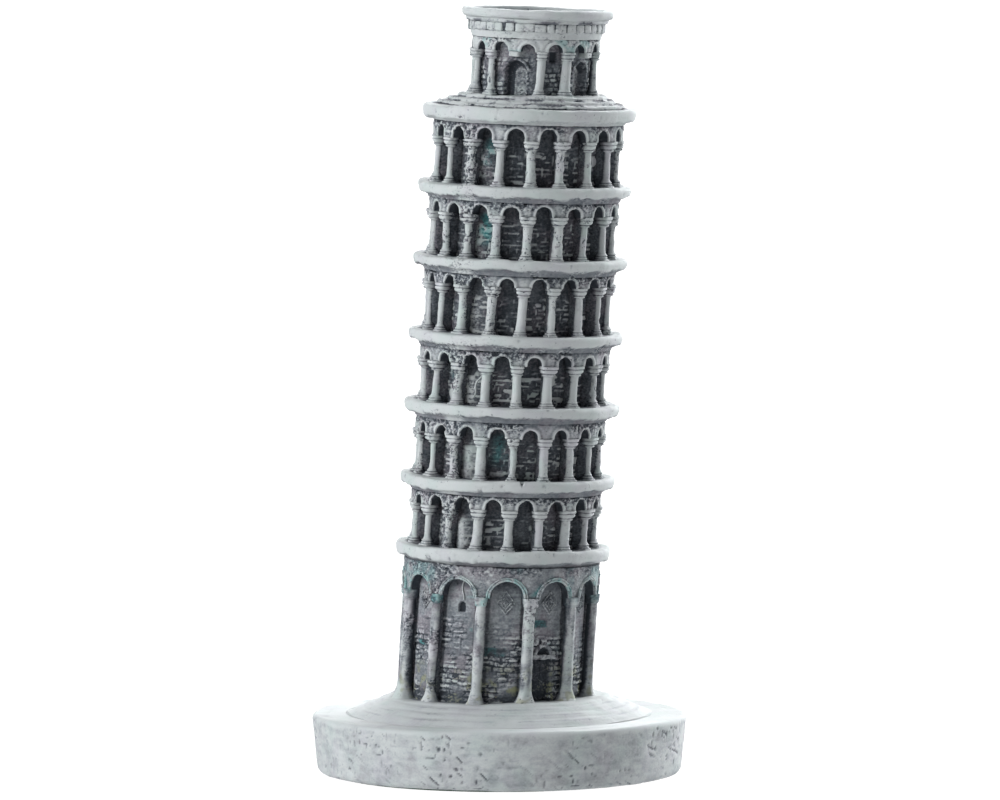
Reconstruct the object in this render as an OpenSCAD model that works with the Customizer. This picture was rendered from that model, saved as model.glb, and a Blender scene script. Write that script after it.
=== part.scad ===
// Souvenir model of a leaning round bell tower, cast in resin on a round plinth.
// Storey 1 is the ground storey, storeys 2 to 7 are open galleries, and storey 8 is the belfry.
// Everything is in millimetres. The tower is drawn upright on its own axis and leaned as a whole.

/* [Lean] */
// Lean of the tower's axis towards +X, in degrees
lean_deg = 3.5; // [1:0.5:5]
// Sideways place of the tower's foot on the plinth
foot_x = -1.1; // [-2:0.1:2]

/* [Plinth] */
// Radius of the plinth at its upper edge
plinth_r = 37.5; // [36:0.5:40]
// Radius of the plinth at its underside
plinth_base_r = 36.5; // [35:0.5:38]
// Height of the plinth's upper face above the table
plinth_top = 12.4; // [10:0.1:15]
// Radius of the felt pad under the plinth
felt_r = 33.5; // [30:0.5:34]
// How far the felt stands out below the resin
felt_proud = 0.4; // [0.2:0.1:0.6]
// Number of shallow steps between the plinth and the tower's foot
step_count = 4; // [2:1:5]
// Radius of the uppermost step
step_top_r = 23.2; // [22.5:0.1:24]
// Tread width of each step
step_tread = 2.2; // [1.5:0.1:2.4]
// Height of each step
step_rise = 0.95; // [0.6:0.05:1.2]

/* [Ground storey] */
// Height from the foot to the underside of the first cornice
ground_h = 27.4; // [25:0.1:30]
// Radius of the solid ground storey wall
ground_wall_r = 17.8; // [17.5:0.1:18]
// Number of engaged columns round the ground storey
ground_bays = 12; // [12:1:12]
// Height of the ground columns, to the top of their capitals
ground_column_h = 21.2; // [20:0.1:22]
// Radius of each blind arch
ground_arch_r = 3.45; // [3:0.05:3.6]

/* [Galleries] */
// Floor-to-floor rise of the six galleries, from the lowest up
gallery_rise = [14.1, 14.8, 14.3, 15.2, 14.7, 15.6];
// Number of free-standing columns round each gallery
gallery_bays = 18; // [16:1:18]
// Radius of the solid wall behind the columns
gallery_wall_r = 15.7; // [15:0.1:16]
// Radius of the circle through the column centres
gallery_column_ring_r = 18.1; // [17.6:0.05:18.2]
// Height of the columns in each gallery, from the lowest gallery up
gallery_column_h = [8.1, 8.5, 8.3, 9.7, 8.7, 9.1];
// Arch radius in each gallery, from the lowest gallery up
gallery_arch_r = [1.6, 1.46, 1.5, 1.5, 1.62, 1.7];
// Straight part of the arches in each gallery, between the capitals and the half circles
gallery_arch_stilt = [0.5, 0.45, 0.35, 0.3, 0.35, 0.8];

/* [Cornices] */
// Outer radius of the cornices between storeys
cornice_r = 21.5; // [20.8:0.1:22]
// Height of each cornice, with the moulding under it
cornice_h = 3.2; // [3:0.1:3.4]

/* [Belfry] */
// Radius of the belfry's solid wall
belfry_wall_r = 11.1; // [10.5:0.1:11.3]
// Number of arches round the belfry
belfry_bays = 14; // [14:1:14]
// Height of the belfry columns
belfry_column_h = 8.8; // [8.4:0.1:9.2]
// Radius of each belfry arch
belfry_arch_r = 1.55; // [1.4:0.05:1.6]
// Number of dentil blocks under the crown
dentil_count = 40; // [30:1:40]
// Outer radius of the crown
crown_r = 15.1; // [14.6:0.1:15.4]

/* [Hidden] */
$fn = 64;
foot_z = plinth_top + step_count * step_rise;

// Bearings are degrees anticlockwise from +X, seen from above; the front is 270.
ground_column_bearing = 259;
gallery_column_bearing = 272.5;
belfry_column_bearing = 250;
ground_pitch = 360 / ground_bays;
gallery_pitch = 360 / gallery_bays;
belfry_pitch = 360 / belfry_bays;

// Below-foot allowance: the ground storey starts this far under the foot and is cut off level.
below_foot = 2.0;
half_space = 60;

plinth_top_round = 0.9;
plinth_base_round = 1.6;
felt_t = 1.0;
felt_gap = 0.5;

ground_column_ring_r = 19.0;
ground_shaft_r = 1.1;
ground_capital_r = 1.45;
ground_base_r = 1.6;
ground_base_top = 2.0;
ground_web_w = 1.2;
ground_arcade_r = 19.8;
ground_capital_h = 1.9;
archivolt_w = 0.85;
archivolt_proud = 0.4;

door_offset_deg = -2.5;
door_bearing = ground_column_bearing + 1.5 * ground_pitch + door_offset_deg;
door_w = 5.2;
door_h = 8.8;
door_recess = 1.6;
door_leaf_t = 0.7;
lintel_h = 1.0;
lintel_w_deg = 22;
lunette_r = 1.5;
lunette_depth = 1.0;
hood_w = 0.7;
surround_proud = 0.7;

lozenge_w = 4.0;
lozenge_h = 5.2;
lozenge_band = 0.62;
lozenge_z = 20.2;
lozenge_proud = 0.5;

shaft_r = 0.85;
shaft_top_r = 0.78;
capital_r = 1.36;
capital_h = 1.6;
base_r = 1.32;
base_h = 1.1;
web_t = 1.3;
arcade_in_r = 16.6;
arcade_out_r = 19.1;

belfry_step_r = [19.0, 17.1, 15.2];
belfry_step_rise = 0.8;
belfry_column_ring_r = 11.95;
belfry_shaft_r = 0.9;
belfry_capital_r = 1.2;
belfry_capital_h = 1.4;
belfry_base_r = 1.15;
belfry_arcade_in_r = belfry_wall_r;
belfry_arcade_out_r = 12.85;
belfry_arcade_h = 2.6;
frieze_h = 3.9;
frieze_wall_r = 13.35;
dentil_proud = 0.6;
dentil_z = 1.5;
dentil_h = 1.6;
dentil_share = 0.7;
crown_h = 1.9;
crown_lip_r = 13.2;
roof_t = 1.1;
belfry_door_columns = [0, 3, 7, 10];
belfry_door_r = 2.3;
belfry_door_h = 7.0;
belfry_door_depth = 1.6;
belfry_window_w = 1.4;
belfry_window_h = 2.0;
belfry_window_z = 6.8;
belfry_window_depth = 1.0;

galleries = [2 : 7];
cornices = [1 : 7];

// ---- Heights along the tower's axis, from its foot ----

function rise_below(storey) = storey <= 2 ? 0 : gallery_rise[storey - 3] + rise_below(storey - 1);
function floor_of(storey) = ground_h + cornice_h + rise_below(storey);
function clear_of(storey) = gallery_rise[storey - 2] - cornice_h;
function column_h_of(storey) = gallery_column_h[storey - 2];
belfry_floor = floor_of(8) + len(belfry_step_r) * belfry_step_rise;
belfry_frieze_z = belfry_floor + belfry_column_h + belfry_arcade_h;

// ---- Colours ----

module pale_resin() { color([0.80, 0.83, 0.83]) children(); }
module worn_resin() { color([0.66, 0.69, 0.70]) children(); }
module washed_resin() { color([0.30, 0.32, 0.33]) children(); }
module dark_felt() { color([0.10, 0.13, 0.11]) children(); }

// ---- Shared shapes ----

// Puts its children on the tower's own leaning axis.
module leaned() {
    translate([foot_x, 0, foot_z]) rotate([0, lean_deg, 0]) children();
}

// Keeps what stands above the level plane of the foot.
module above_foot() {
    intersection() {
        children();
        rotate([0, -lean_deg, 0])
            translate([-half_space, -half_space, 0])
                cube([2 * half_space, 2 * half_space, half_space]);
    }
}

module at_bearing(bearing, radius) {
    rotate([0, 0, bearing]) translate([radius, 0, 0]) children();
}

module ring(r_in, r_out, z, h) {
    rotate_extrude() translate([r_in, z]) square([r_out - r_in, h]);
}

// A block bent round the axis, width_deg wide and centred on a bearing.
module sector(bearing, width_deg, r_in, r_out, z, h) {
    rotate([0, 0, bearing - width_deg / 2])
        rotate_extrude(angle = width_deg, $fn = 180)
            translate([r_in, z]) square([r_out - r_in, h]);
}

// A round bar along the radius, from r_in to r_out.
module radial_bar(bearing, z, r, r_in, r_out) {
    at_bearing(bearing, r_in) translate([0, 0, z]) rotate([0, 90, 0]) cylinder(r = r, h = r_out - r_in);
}

// A raised half-round band over an arch, on a round wall of radius wall_r.
module archivolt(bearing, z, arch_r, band_w, wall_r, proud) {
    intersection() {
        ring(wall_r, wall_r + proud, z, arch_r + band_w + 1);
        difference() {
            radial_bar(bearing, z, arch_r + band_w, wall_r - 3, wall_r + 3);
            radial_bar(bearing, z, arch_r, wall_r - 4, wall_r + 4);
        }
    }
}

// An arched recess cut into a round wall: straight jambs up to z_spring, then a half circle.
module arched_cut(bearing, z, z_spring, r, wall_r, depth) {
    radial_bar(bearing, z_spring, r, wall_r - depth, wall_r + 3);
    at_bearing(bearing, wall_r - depth) translate([0, -r, z]) cube([depth + 3, 2 * r, z_spring - z]);
}

// One column standing on z = 0: square block, round base, tapered shaft, bell capital and abacus.
module column(h, r_low, r_high, r_base, h_base, r_cap, h_cap) {
    block_h = h_base * 0.45;
    abacus_h = h_cap * 0.32;
    translate([-r_base, -r_base, 0]) cube([2 * r_base, 2 * r_base, block_h]);
    rotate_extrude($fn = 32) polygon([
        [0, block_h],
        [r_base * 0.92, block_h],
        [r_base * 0.98, block_h + (h_base - block_h) * 0.4],
        [r_low * 1.15, h_base],
        [r_low, h_base + 0.35],
        [r_high, h - h_cap - 0.3],
        [r_high * 1.22, h - h_cap - 0.15],
        [r_high * 1.22, h - h_cap],
        [r_high * 1.1, h - h_cap + 0.1],
        [r_cap * 0.82, h - abacus_h - h_cap * 0.25],
        [r_cap * 0.95, h - abacus_h],
        [0, h - abacus_h]
    ]);
    translate([-r_cap, -r_cap, h - abacus_h]) cube([2 * r_cap, 2 * r_cap, abacus_h]);
}

// ---- Plinth ----

module plinth() {
    pale_resin() rotate_extrude($fn = 128) polygon(concat(
        [[0, felt_t], [felt_r + felt_gap, felt_t], [felt_r + felt_gap, felt_proud]],
        [for (a = [-90 : 18 : 0]) [
            plinth_base_r - plinth_base_round + plinth_base_round * cos(a),
            felt_proud + plinth_base_round + plinth_base_round * sin(a)
        ]],
        [for (a = [0 : 18 : 90]) [
            plinth_r - plinth_top_round + plinth_top_round * cos(a),
            plinth_top - plinth_top_round + plinth_top_round * sin(a)
        ]],
        [[0, plinth_top]]
    ));
}

module felt_pad() {
    dark_felt() cylinder(r = felt_r, h = felt_t, $fn = 128);
}

module foot_steps() {
    pale_resin() rotate_extrude($fn = 128) polygon(concat(
        [[0, plinth_top]],
        [for (i = [0 : step_count - 1], edge = [0, 1]) [
            step_top_r + (step_count - 1 - i) * step_tread,
            plinth_top + (i + edge) * step_rise
        ]],
        [[0, foot_z]]
    ));
}

// ---- Ground storey ----

module ground_wall() {
    washed_resin() above_foot() difference() {
        translate([0, 0, -below_foot]) cylinder(r = ground_wall_r, h = ground_h + below_foot);
        at_bearing(door_bearing, ground_wall_r - door_recess)
            translate([0, -door_w / 2, -below_foot - 1]) cube([5, door_w, door_h + below_foot + 1]);
        intersection() {
            radial_bar(door_bearing, door_h + lintel_h, lunette_r,
                       ground_wall_r - lunette_depth, ground_wall_r + 3);
            translate([0, 0, door_h + lintel_h]) cylinder(r = 30, h = 10);
        }
    }
}

module ground_columns() {
    pale_resin() above_foot() difference() {
        for (i = [0 : ground_bays - 1])
            at_bearing(ground_column_bearing + i * ground_pitch, ground_column_ring_r) {
                translate([0, 0, -below_foot])
                    column(ground_column_h + below_foot, ground_shaft_r, ground_shaft_r * 0.9,
                           ground_base_r, ground_base_top + below_foot, ground_capital_r, ground_capital_h);
                translate([-2, -ground_web_w / 2, -below_foot])
                    cube([2, ground_web_w, ground_column_h + below_foot]);
            }
        translate([0, 0, -below_foot - 1]) cylinder(r = ground_wall_r, h = ground_h + below_foot);
    }
}

module ground_arcade() {
    worn_resin() difference() {
        ring(ground_wall_r, ground_arcade_r, ground_column_h, ground_h - ground_column_h);
        for (i = [0 : ground_bays - 1])
            radial_bar(ground_column_bearing + (i + 0.5) * ground_pitch, ground_column_h,
                       ground_arch_r, ground_wall_r - 3, ground_arcade_r + 2);
    }
}

module ground_archivolts() {
    pale_resin() for (i = [0 : ground_bays - 1])
        archivolt(ground_column_bearing + (i + 0.5) * ground_pitch, ground_column_h,
                  ground_arch_r, archivolt_w, ground_arcade_r, archivolt_proud);
}

// Diamond frames on the wall, one under each blind arch.
module ground_lozenges() {
    worn_resin() for (i = [0 : ground_bays - 1])
        intersection() {
            ring(ground_wall_r, ground_wall_r + lozenge_proud, lozenge_z - lozenge_h, 2 * lozenge_h);
            at_bearing(ground_column_bearing + (i + 0.5) * ground_pitch, ground_wall_r - 1)
                translate([0, 0, lozenge_z]) rotate([90, 0, 90]) linear_extrude(3) difference() {
                    diamond(lozenge_w, lozenge_h);
                    diamond(lozenge_w - 2.6 * lozenge_band, lozenge_h - 3.2 * lozenge_band);
                }
        }
}

module diamond(w, h) {
    polygon([[-w / 2, 0], [0, -h / 2], [w / 2, 0], [0, h / 2]]);
}

module door_leaf() {
    washed_resin() above_foot()
        at_bearing(door_bearing, ground_wall_r - door_recess)
            translate([0, -door_w / 2, -below_foot]) cube([door_leaf_t, door_w, door_h + below_foot]);
}

module door_surround() {
    worn_resin() {
        sector(door_bearing, lintel_w_deg, ground_wall_r, ground_wall_r + surround_proud, door_h, lintel_h);
        archivolt(door_bearing, door_h + lintel_h, lunette_r, hood_w, ground_wall_r, surround_proud);
    }
}

// ---- Cornices: solid floor slabs with a moulded edge, the moulding on the underside ----

module cornice(n) {
    pale_resin() translate([0, 0, floor_of(n + 1) - cornice_h]) rotate_extrude($fn = 96) polygon([
        [0, 0],
        [cornice_r - 2.3, 0],
        [cornice_r - 2.1, cornice_h * 0.2],
        [cornice_r - 1.4, cornice_h * 0.36],
        [cornice_r - 0.2, cornice_h * 0.46],
        [cornice_r, cornice_h * 0.6],
        [cornice_r, cornice_h * 0.82],
        [cornice_r - 0.2, cornice_h * 0.94],
        [cornice_r - 0.6, cornice_h],
        [0, cornice_h]
    ]);
}

// ---- Galleries ----

module gallery_wall(storey) {
    washed_resin() translate([0, 0, floor_of(storey)]) cylinder(r = gallery_wall_r, h = clear_of(storey));
}

module gallery_columns(storey) {
    h = column_h_of(storey);
    web_l = gallery_column_ring_r - gallery_wall_r;
    pale_resin() difference() {
        for (i = [0 : gallery_bays - 1])
            at_bearing(gallery_column_bearing + i * gallery_pitch, gallery_column_ring_r)
                translate([0, 0, floor_of(storey)]) {
                    column(h, shaft_r, shaft_top_r, base_r, base_h, capital_r, capital_h);
                    translate([-web_l - 0.4, -web_t / 2, 0]) cube([web_l + 0.4, web_t, h]);
                }
        translate([0, 0, floor_of(storey) - 1]) cylinder(r = gallery_wall_r, h = h + 2);
    }
}

module gallery_arcade(storey) {
    z = floor_of(storey) + column_h_of(storey);
    worn_resin() difference() {
        ring(arcade_in_r, arcade_out_r, z, clear_of(storey) - column_h_of(storey));
        for (i = [0 : gallery_bays - 1])
            arched_cut(gallery_column_bearing + (i + 0.5) * gallery_pitch,
                       z - 1, z + gallery_arch_stilt[storey - 2], gallery_arch_r[storey - 2],
                       arcade_out_r, arcade_out_r - arcade_in_r + 1);
    }
}

// ---- Belfry ----

function is_belfry_door(i) = len(search(i, belfry_door_columns)) > 0;
function belfry_bearing(i) = belfry_column_bearing + i * belfry_pitch;

module belfry_steps() {
    pale_resin() translate([0, 0, floor_of(8)]) rotate_extrude($fn = 96) polygon(concat(
        [[0, 0]],
        [for (i = [0 : len(belfry_step_r) - 1], edge = [0, 1])
            [belfry_step_r[i], (i + edge) * belfry_step_rise]],
        [[0, len(belfry_step_r) * belfry_step_rise]]
    ));
}

module belfry_wall() {
    washed_resin() translate([0, 0, belfry_floor]) difference() {
        cylinder(r = belfry_wall_r, h = belfry_column_h + belfry_arcade_h + frieze_h);
        for (i = belfry_door_columns)
            arched_cut(belfry_bearing(i), -1, belfry_door_h - belfry_door_r, belfry_door_r,
                       belfry_wall_r, belfry_door_depth);
        for (i = [0 : belfry_bays - 1])
            if (!is_belfry_door(i) && !is_belfry_door((i + 1) % belfry_bays))
                at_bearing(belfry_bearing(i + 0.5), belfry_wall_r - belfry_window_depth)
                    translate([0, -belfry_window_w / 2, belfry_window_z])
                        cube([3, belfry_window_w, belfry_window_h]);
    }
}

module belfry_columns() {
    pale_resin() for (i = [0 : belfry_bays - 1])
        if (!is_belfry_door(i))
            at_bearing(belfry_bearing(i), belfry_column_ring_r)
                translate([0, 0, belfry_floor])
                    column(belfry_column_h, belfry_shaft_r, belfry_shaft_r * 0.92, belfry_base_r, base_h,
                           belfry_capital_r, belfry_capital_h);
}

// Over each arched doorway the column is only a corbel on the wall.
module belfry_corbels() {
    pale_resin() for (i = belfry_door_columns)
        sector(belfry_bearing(i), 2 * atan(belfry_capital_r / belfry_column_ring_r), belfry_wall_r,
               belfry_column_ring_r + belfry_capital_r, belfry_floor + belfry_column_h - 0.5, 0.5);
}

module belfry_arcade() {
    z = belfry_floor + belfry_column_h;
    worn_resin() difference() {
        ring(belfry_arcade_in_r, belfry_arcade_out_r, z, belfry_arcade_h);
        for (i = [0 : belfry_bays - 1])
            radial_bar(belfry_bearing(i + 0.5), z, belfry_arch_r,
                       belfry_arcade_in_r - 2, belfry_arcade_out_r + 2);
    }
}

module belfry_archivolts() {
    pale_resin() for (i = belfry_door_columns)
        archivolt(belfry_bearing(i), belfry_floor + belfry_door_h - belfry_door_r, belfry_door_r,
                  hood_w - 0.1, belfry_wall_r, 0.5);
}

module belfry_frieze() {
    pale_resin() translate([0, 0, belfry_frieze_z]) rotate_extrude($fn = 96) polygon([
        [belfry_wall_r, 0],
        [belfry_arcade_out_r + 0.3, 0],
        [belfry_arcade_out_r + 0.3, 0.5],
        [frieze_wall_r - 0.3, 0.8],
        [frieze_wall_r + 0.2, dentil_z - 0.1],
        [frieze_wall_r + 0.2, dentil_z],
        [frieze_wall_r, dentil_z],
        [frieze_wall_r, dentil_z + dentil_h],
        [frieze_wall_r + dentil_proud, dentil_z + dentil_h],
        [frieze_wall_r + dentil_proud + 0.5, frieze_h],
        [belfry_wall_r, frieze_h]
    ]);
}

module belfry_dentils() {
    worn_resin() for (i = [0 : dentil_count - 1])
        sector(i * 360 / dentil_count, dentil_share * 360 / dentil_count, frieze_wall_r,
               frieze_wall_r + dentil_proud, belfry_frieze_z + dentil_z, dentil_h);
}

module belfry_crown() {
    pale_resin() translate([0, 0, belfry_frieze_z + frieze_h]) rotate_extrude($fn = 96) polygon([
        [crown_lip_r, 0],
        [crown_r - 0.9, 0],
        [crown_r - 0.25, 0.6],
        [crown_r, 1.0],
        [crown_r, crown_h - 0.4],
        [crown_r - 0.3, crown_h],
        [crown_lip_r, crown_h]
    ]);
}

module belfry_roof() {
    worn_resin() translate([0, 0, belfry_frieze_z + frieze_h]) cylinder(r = crown_lip_r, h = roof_t);
}

// ---- The nodes ----

felt_pad();
plinth();
foot_steps();
leaned() ground_wall();
leaned() ground_columns();
leaned() ground_arcade();
leaned() ground_archivolts();
leaned() ground_lozenges();
leaned() door_leaf();
leaned() door_surround();
for (n = cornices) leaned() cornice(n);
for (s = galleries) {
    leaned() gallery_wall(s);
    leaned() gallery_columns(s);
    leaned() gallery_arcade(s);
}
leaned() belfry_steps();
leaned() belfry_wall();
leaned() belfry_columns();
leaned() belfry_corbels();
leaned() belfry_arcade();
leaned() belfry_archivolts();
leaned() belfry_frieze();
leaned() belfry_dentils();
leaned() belfry_crown();
leaned() belfry_roof();
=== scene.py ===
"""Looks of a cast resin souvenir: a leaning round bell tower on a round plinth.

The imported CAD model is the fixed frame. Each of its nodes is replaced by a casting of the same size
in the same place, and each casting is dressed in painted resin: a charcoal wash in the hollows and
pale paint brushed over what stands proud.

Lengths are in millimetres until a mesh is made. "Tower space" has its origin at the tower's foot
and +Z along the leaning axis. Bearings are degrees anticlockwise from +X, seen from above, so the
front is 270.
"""
from __future__ import annotations

import logging
import math
from dataclasses import dataclass, field, replace
from enum import Enum
from typing import Any, Callable, Union

import bpy
import numpy as np
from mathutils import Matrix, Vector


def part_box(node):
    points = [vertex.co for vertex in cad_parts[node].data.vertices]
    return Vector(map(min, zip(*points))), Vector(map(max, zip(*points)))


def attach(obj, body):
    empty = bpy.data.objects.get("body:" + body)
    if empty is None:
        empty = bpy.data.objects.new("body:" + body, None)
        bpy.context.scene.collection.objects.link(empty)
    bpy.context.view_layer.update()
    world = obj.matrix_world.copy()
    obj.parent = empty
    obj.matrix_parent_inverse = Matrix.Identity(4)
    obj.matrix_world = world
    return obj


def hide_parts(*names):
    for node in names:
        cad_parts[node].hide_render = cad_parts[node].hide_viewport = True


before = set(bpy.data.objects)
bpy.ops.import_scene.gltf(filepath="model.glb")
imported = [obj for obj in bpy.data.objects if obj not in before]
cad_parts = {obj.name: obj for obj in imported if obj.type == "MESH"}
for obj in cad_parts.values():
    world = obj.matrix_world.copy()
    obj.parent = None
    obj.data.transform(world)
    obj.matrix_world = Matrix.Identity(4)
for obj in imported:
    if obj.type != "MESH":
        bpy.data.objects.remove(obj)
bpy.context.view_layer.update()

LOG = logging.getLogger("bell_tower")
MM = 0.001
TURN = 2 * math.pi
BODY = "root"

Array = np.ndarray
Colour = tuple[float, float, float]
Values = Union[float, np.ndarray]


class Slot(Enum):
    """The record's material slots."""

    FELT = "felt"
    PLINTH = "plinth_paint"
    WALL = "wall_paint"
    COLUMN = "column_paint"
    ARCH = "arch_paint"
    LEDGE = "ledge_paint"
    CROWN = "crown_paint"


# ---------------------------------------------------------------------------------------------
# Numbers over a surface
# ---------------------------------------------------------------------------------------------


def ease(low: Values, high: Values, value: Values) -> Array:
    """Smooth step of a value from 0 at low to 1 at high."""
    share = np.clip((value - low) / (high - low), 0.0, 1.0)
    return share * share * (3.0 - 2.0 * share)


def hump(centre: float, width: float, value: Values) -> Array:
    """A soft hump of height 1 round a centre."""
    return np.exp(-(((value - centre) / width) ** 2))


def turn_apart(first: Values, second: Values) -> Array:
    """Smallest signed angle between bearings, in degrees."""
    return (first - second + 180.0) % 360.0 - 180.0


def blur(grid: Array, passes: int) -> Array:
    """Averages a grid with its neighbours; the columns wrap round and the rows don't."""
    for _ in range(passes):
        grid = (grid + np.roll(grid, 1, axis=1) + np.roll(grid, -1, axis=1)) / 3
        padded = np.concatenate([grid[:1], grid, grid[-1:]])
        grid = (padded[:-2] + padded[1:-1] + padded[2:]) / 3
    return grid


def bearing_of(points: Array) -> Array:
    """Bearing of each point round the tower's axis, in degrees."""
    return np.degrees(np.arctan2(points[..., 1], points[..., 0]))


@dataclass(frozen=True)
class Grain:
    """Smooth seeded noise in space."""

    seed: int

    def cell(self, *whole: Array) -> Array:
        """Random number of each whole-numbered cell.

        Args:
            whole: Up to three arrays of whole numbers.

        Returns:
            One number per cell, 0 to 1, the same each run.
        """
        mixed = np.uint32(self.seed * 2654435 + 97)
        for part, prime in zip(whole, (73856093, 19349663, 83492791)):
            mixed = mixed ^ (part.astype(np.int64).astype(np.uint32) * np.uint32(prime))
        mixed = (mixed ^ (mixed >> np.uint32(13))) * np.uint32(1274126177)
        mixed = (mixed ^ (mixed >> np.uint32(15))) * np.uint32(2246822519)
        return (mixed ^ (mixed >> np.uint32(16))).astype(np.float64) / 2**32

    def smooth(self, points: Array, size: Union[float, tuple[float, float, float]]) -> Array:
        """Noise from about -1 to 1 whose lumps are about size across.

        Args:
            points: Points in space, in the last axis.
            size: Size of the lumps in mm, one number or one for each axis.

        Returns:
            One number per point.
        """
        place = points / np.asarray(size) + 31.7
        low = np.floor(place)
        part = place - low
        part = part**3 * (part * (part * 6 - 15) + 10)
        total = np.zeros(points.shape[:-1])
        for dx in (0, 1):
            for dy in (0, 1):
                for dz in (0, 1):
                    weight = (
                        np.abs(1 - dx - part[..., 0])
                        * np.abs(1 - dy - part[..., 1])
                        * np.abs(1 - dz - part[..., 2])
                    )
                    total += weight * self.cell(low[..., 0] + dx, low[..., 1] + dy, low[..., 2] + dz)
        return total * 2 - 1

    def rough(self, points: Array, size: float, octaves: int = 3) -> Array:
        """Noise with finer and fainter noise laid over it.

        Args:
            points: Points in space, in the last axis.
            size: Size of the largest lumps in mm.
            octaves: How many layers, each half the size of the one before.

        Returns:
            One number per point, from about -1 to 1.
        """
        total = sum(self.smooth(points, size / 2**n) / 2**n for n in range(octaves))
        return total / (2 - 2 ** (1 - octaves))

    def spots(self, points: Array, size: Union[float, tuple[float, float, float]], share: Values) -> Array:
        """Scattered spots, 1 in a spot and 0 outside.

        Args:
            points: Points in space, in the last axis.
            size: Size of the spots in mm.
            share: Rough share of the surface that they cover.

        Returns:
            One number per point.
        """
        edge = 0.85 - 1.5 * share
        return ease(edge, edge + 0.22, self.smooth(points, size))


# ---------------------------------------------------------------------------------------------
# Skins and castings
# ---------------------------------------------------------------------------------------------


@dataclass
class Skin:
    """A closed skin of points, row by row, with its paint.

    Each row is a closed loop. Along the loop crossed with along the rows points out of the
    material, as on a wall whose rows run upwards and whose loops run anticlockwise.
    """

    points: Array
    paint: Array
    crumb: Array
    teal: Array
    ring: bool = False

    @classmethod
    def of(cls, points: Array, paint: Values = 0.9, ring: bool = False) -> "Skin":
        """A skin of these points, with no crumbling and no teal."""
        shape = points.shape[:2]
        even = np.broadcast_to(np.asarray(paint, float), shape).copy()
        return cls(points, even, np.zeros(shape), np.zeros(shape), ring)

    def outward(self) -> Array:
        """Unit vectors out of the material, one per point."""
        along_loop = np.roll(self.points, -1, axis=1) - np.roll(self.points, 1, axis=1)
        if self.ring:
            along_rows = np.roll(self.points, -1, axis=0) - np.roll(self.points, 1, axis=0)
        else:
            padded = np.concatenate([self.points[:1], self.points, self.points[-1:]])
            along_rows = padded[2:] - padded[:-2]
        out = np.cross(along_loop, along_rows)
        return out / np.maximum(np.linalg.norm(out, axis=-1, keepdims=True), 1e-12)

    def push(self, relief: Array, brush: float = 0.0) -> None:
        """Moves each point out of the material.

        Args:
            relief: How far each point moves, in mm.
            brush: How much paint a point gains for each mm that it stands over its neighbours.
        """
        relief = relief + 0 * self.paint
        if brush:
            self.paint = self.paint + brush * (relief - blur(relief, 4))
        self.points = self.points + self.outward() * relief[..., None]

    def faces(self, start: int) -> tuple[Array, Array]:
        """The skin's faces.

        Args:
            start: Number of the skin's first point in its mesh.

        Returns:
            The quads of its sides, and the triangles that close its two ends.
        """
        rows, columns = self.points.shape[:2]
        number = start + np.arange(rows * columns).reshape(rows, columns)
        upper = np.roll(number, -1, axis=0) if self.ring else number[1:]
        lower = number if self.ring else number[:-1]
        quads = np.stack([lower, np.roll(lower, -1, axis=1), np.roll(upper, -1, axis=1), upper], axis=-1)
        if self.ring:
            return quads.reshape(-1, 4), np.zeros((0, 3), int)
        first, last = number[0], number[-1]
        bottom, top = start + rows * columns, start + rows * columns + 1
        ends = [
            np.stack([np.roll(first, -1), first, np.full(columns, bottom)], axis=-1),
            np.stack([last, np.roll(last, -1), np.full(columns, top)], axis=-1),
        ]
        return quads.reshape(-1, 4), np.concatenate(ends)

    def closed(self, grid: Array) -> Array:
        """A grid's values as one list, with one value more for the middle of each end."""
        flat = grid.reshape(-1, *grid.shape[2:])
        if self.ring:
            return flat
        return np.concatenate([flat, grid[0].mean(axis=0)[None], grid[-1].mean(axis=0)[None]])


@dataclass
class Casting:
    """One piece of the model, gathered skin by skin and then cast as a mesh."""

    name: str
    skins: list[Skin] = field(default_factory=list)

    def cast(self, place: Callable[[Array], Array], paint: "Paint", *nodes: str) -> None:
        """Makes the mesh, dresses it and puts it in the frame.

        Args:
            place: Takes points in mm to the row frame in metres.
            paint: The finish it wears.
            nodes: The CAD nodes that it stands for.
        """
        start, quads, triangles = 0, [], []
        for skin in self.skins:
            four, three = skin.faces(start)
            quads.append(four)
            triangles.append(three)
            start += skin.points.shape[0] * skin.points.shape[1] + (0 if skin.ring else 2)
        points = np.concatenate([skin.closed(skin.points) for skin in self.skins])
        mesh = self.mesh(place(points), np.concatenate(quads), np.concatenate(triangles))
        for label in ("paint", "crumb", "teal"):
            values = np.concatenate([skin.closed(getattr(skin, label)) for skin in self.skins])
            layer = mesh.attributes.new(label, "FLOAT", "POINT")
            layer.data.foreach_set("value", values.astype(np.float32))
        made = bpy.data.objects.new(self.name, mesh)
        bpy.context.scene.collection.objects.link(made)
        mesh.materials.append(paint.material())
        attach(made, BODY)
        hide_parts(*nodes)
        LOG.info("%s: %d points, %d faces", self.name, len(mesh.vertices), len(mesh.polygons))

    def mesh(self, points: Array, quads: Array, triangles: Array) -> bpy.types.Mesh:
        """A smooth-shaded mesh from arrays of points, quads and triangles."""
        mesh = bpy.data.meshes.new(self.name)
        mesh.vertices.add(len(points))
        mesh.vertices.foreach_set("co", points.astype(np.float32).ravel())
        corners = np.concatenate([quads.ravel(), triangles.ravel()]).astype(np.int32)
        after_quads = 4 * len(quads)
        starts = np.concatenate([np.arange(len(quads)) * 4, after_quads + np.arange(len(triangles)) * 3])
        mesh.loops.add(len(corners))
        mesh.loops.foreach_set("vertex_index", corners)
        mesh.polygons.add(len(starts))
        mesh.polygons.foreach_set("loop_start", starts.astype(np.int32))
        mesh.polygons.foreach_set("use_smooth", np.ones(len(starts), bool))
        mesh.update(calc_edges=True)
        mesh.validate()
        return mesh


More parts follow.
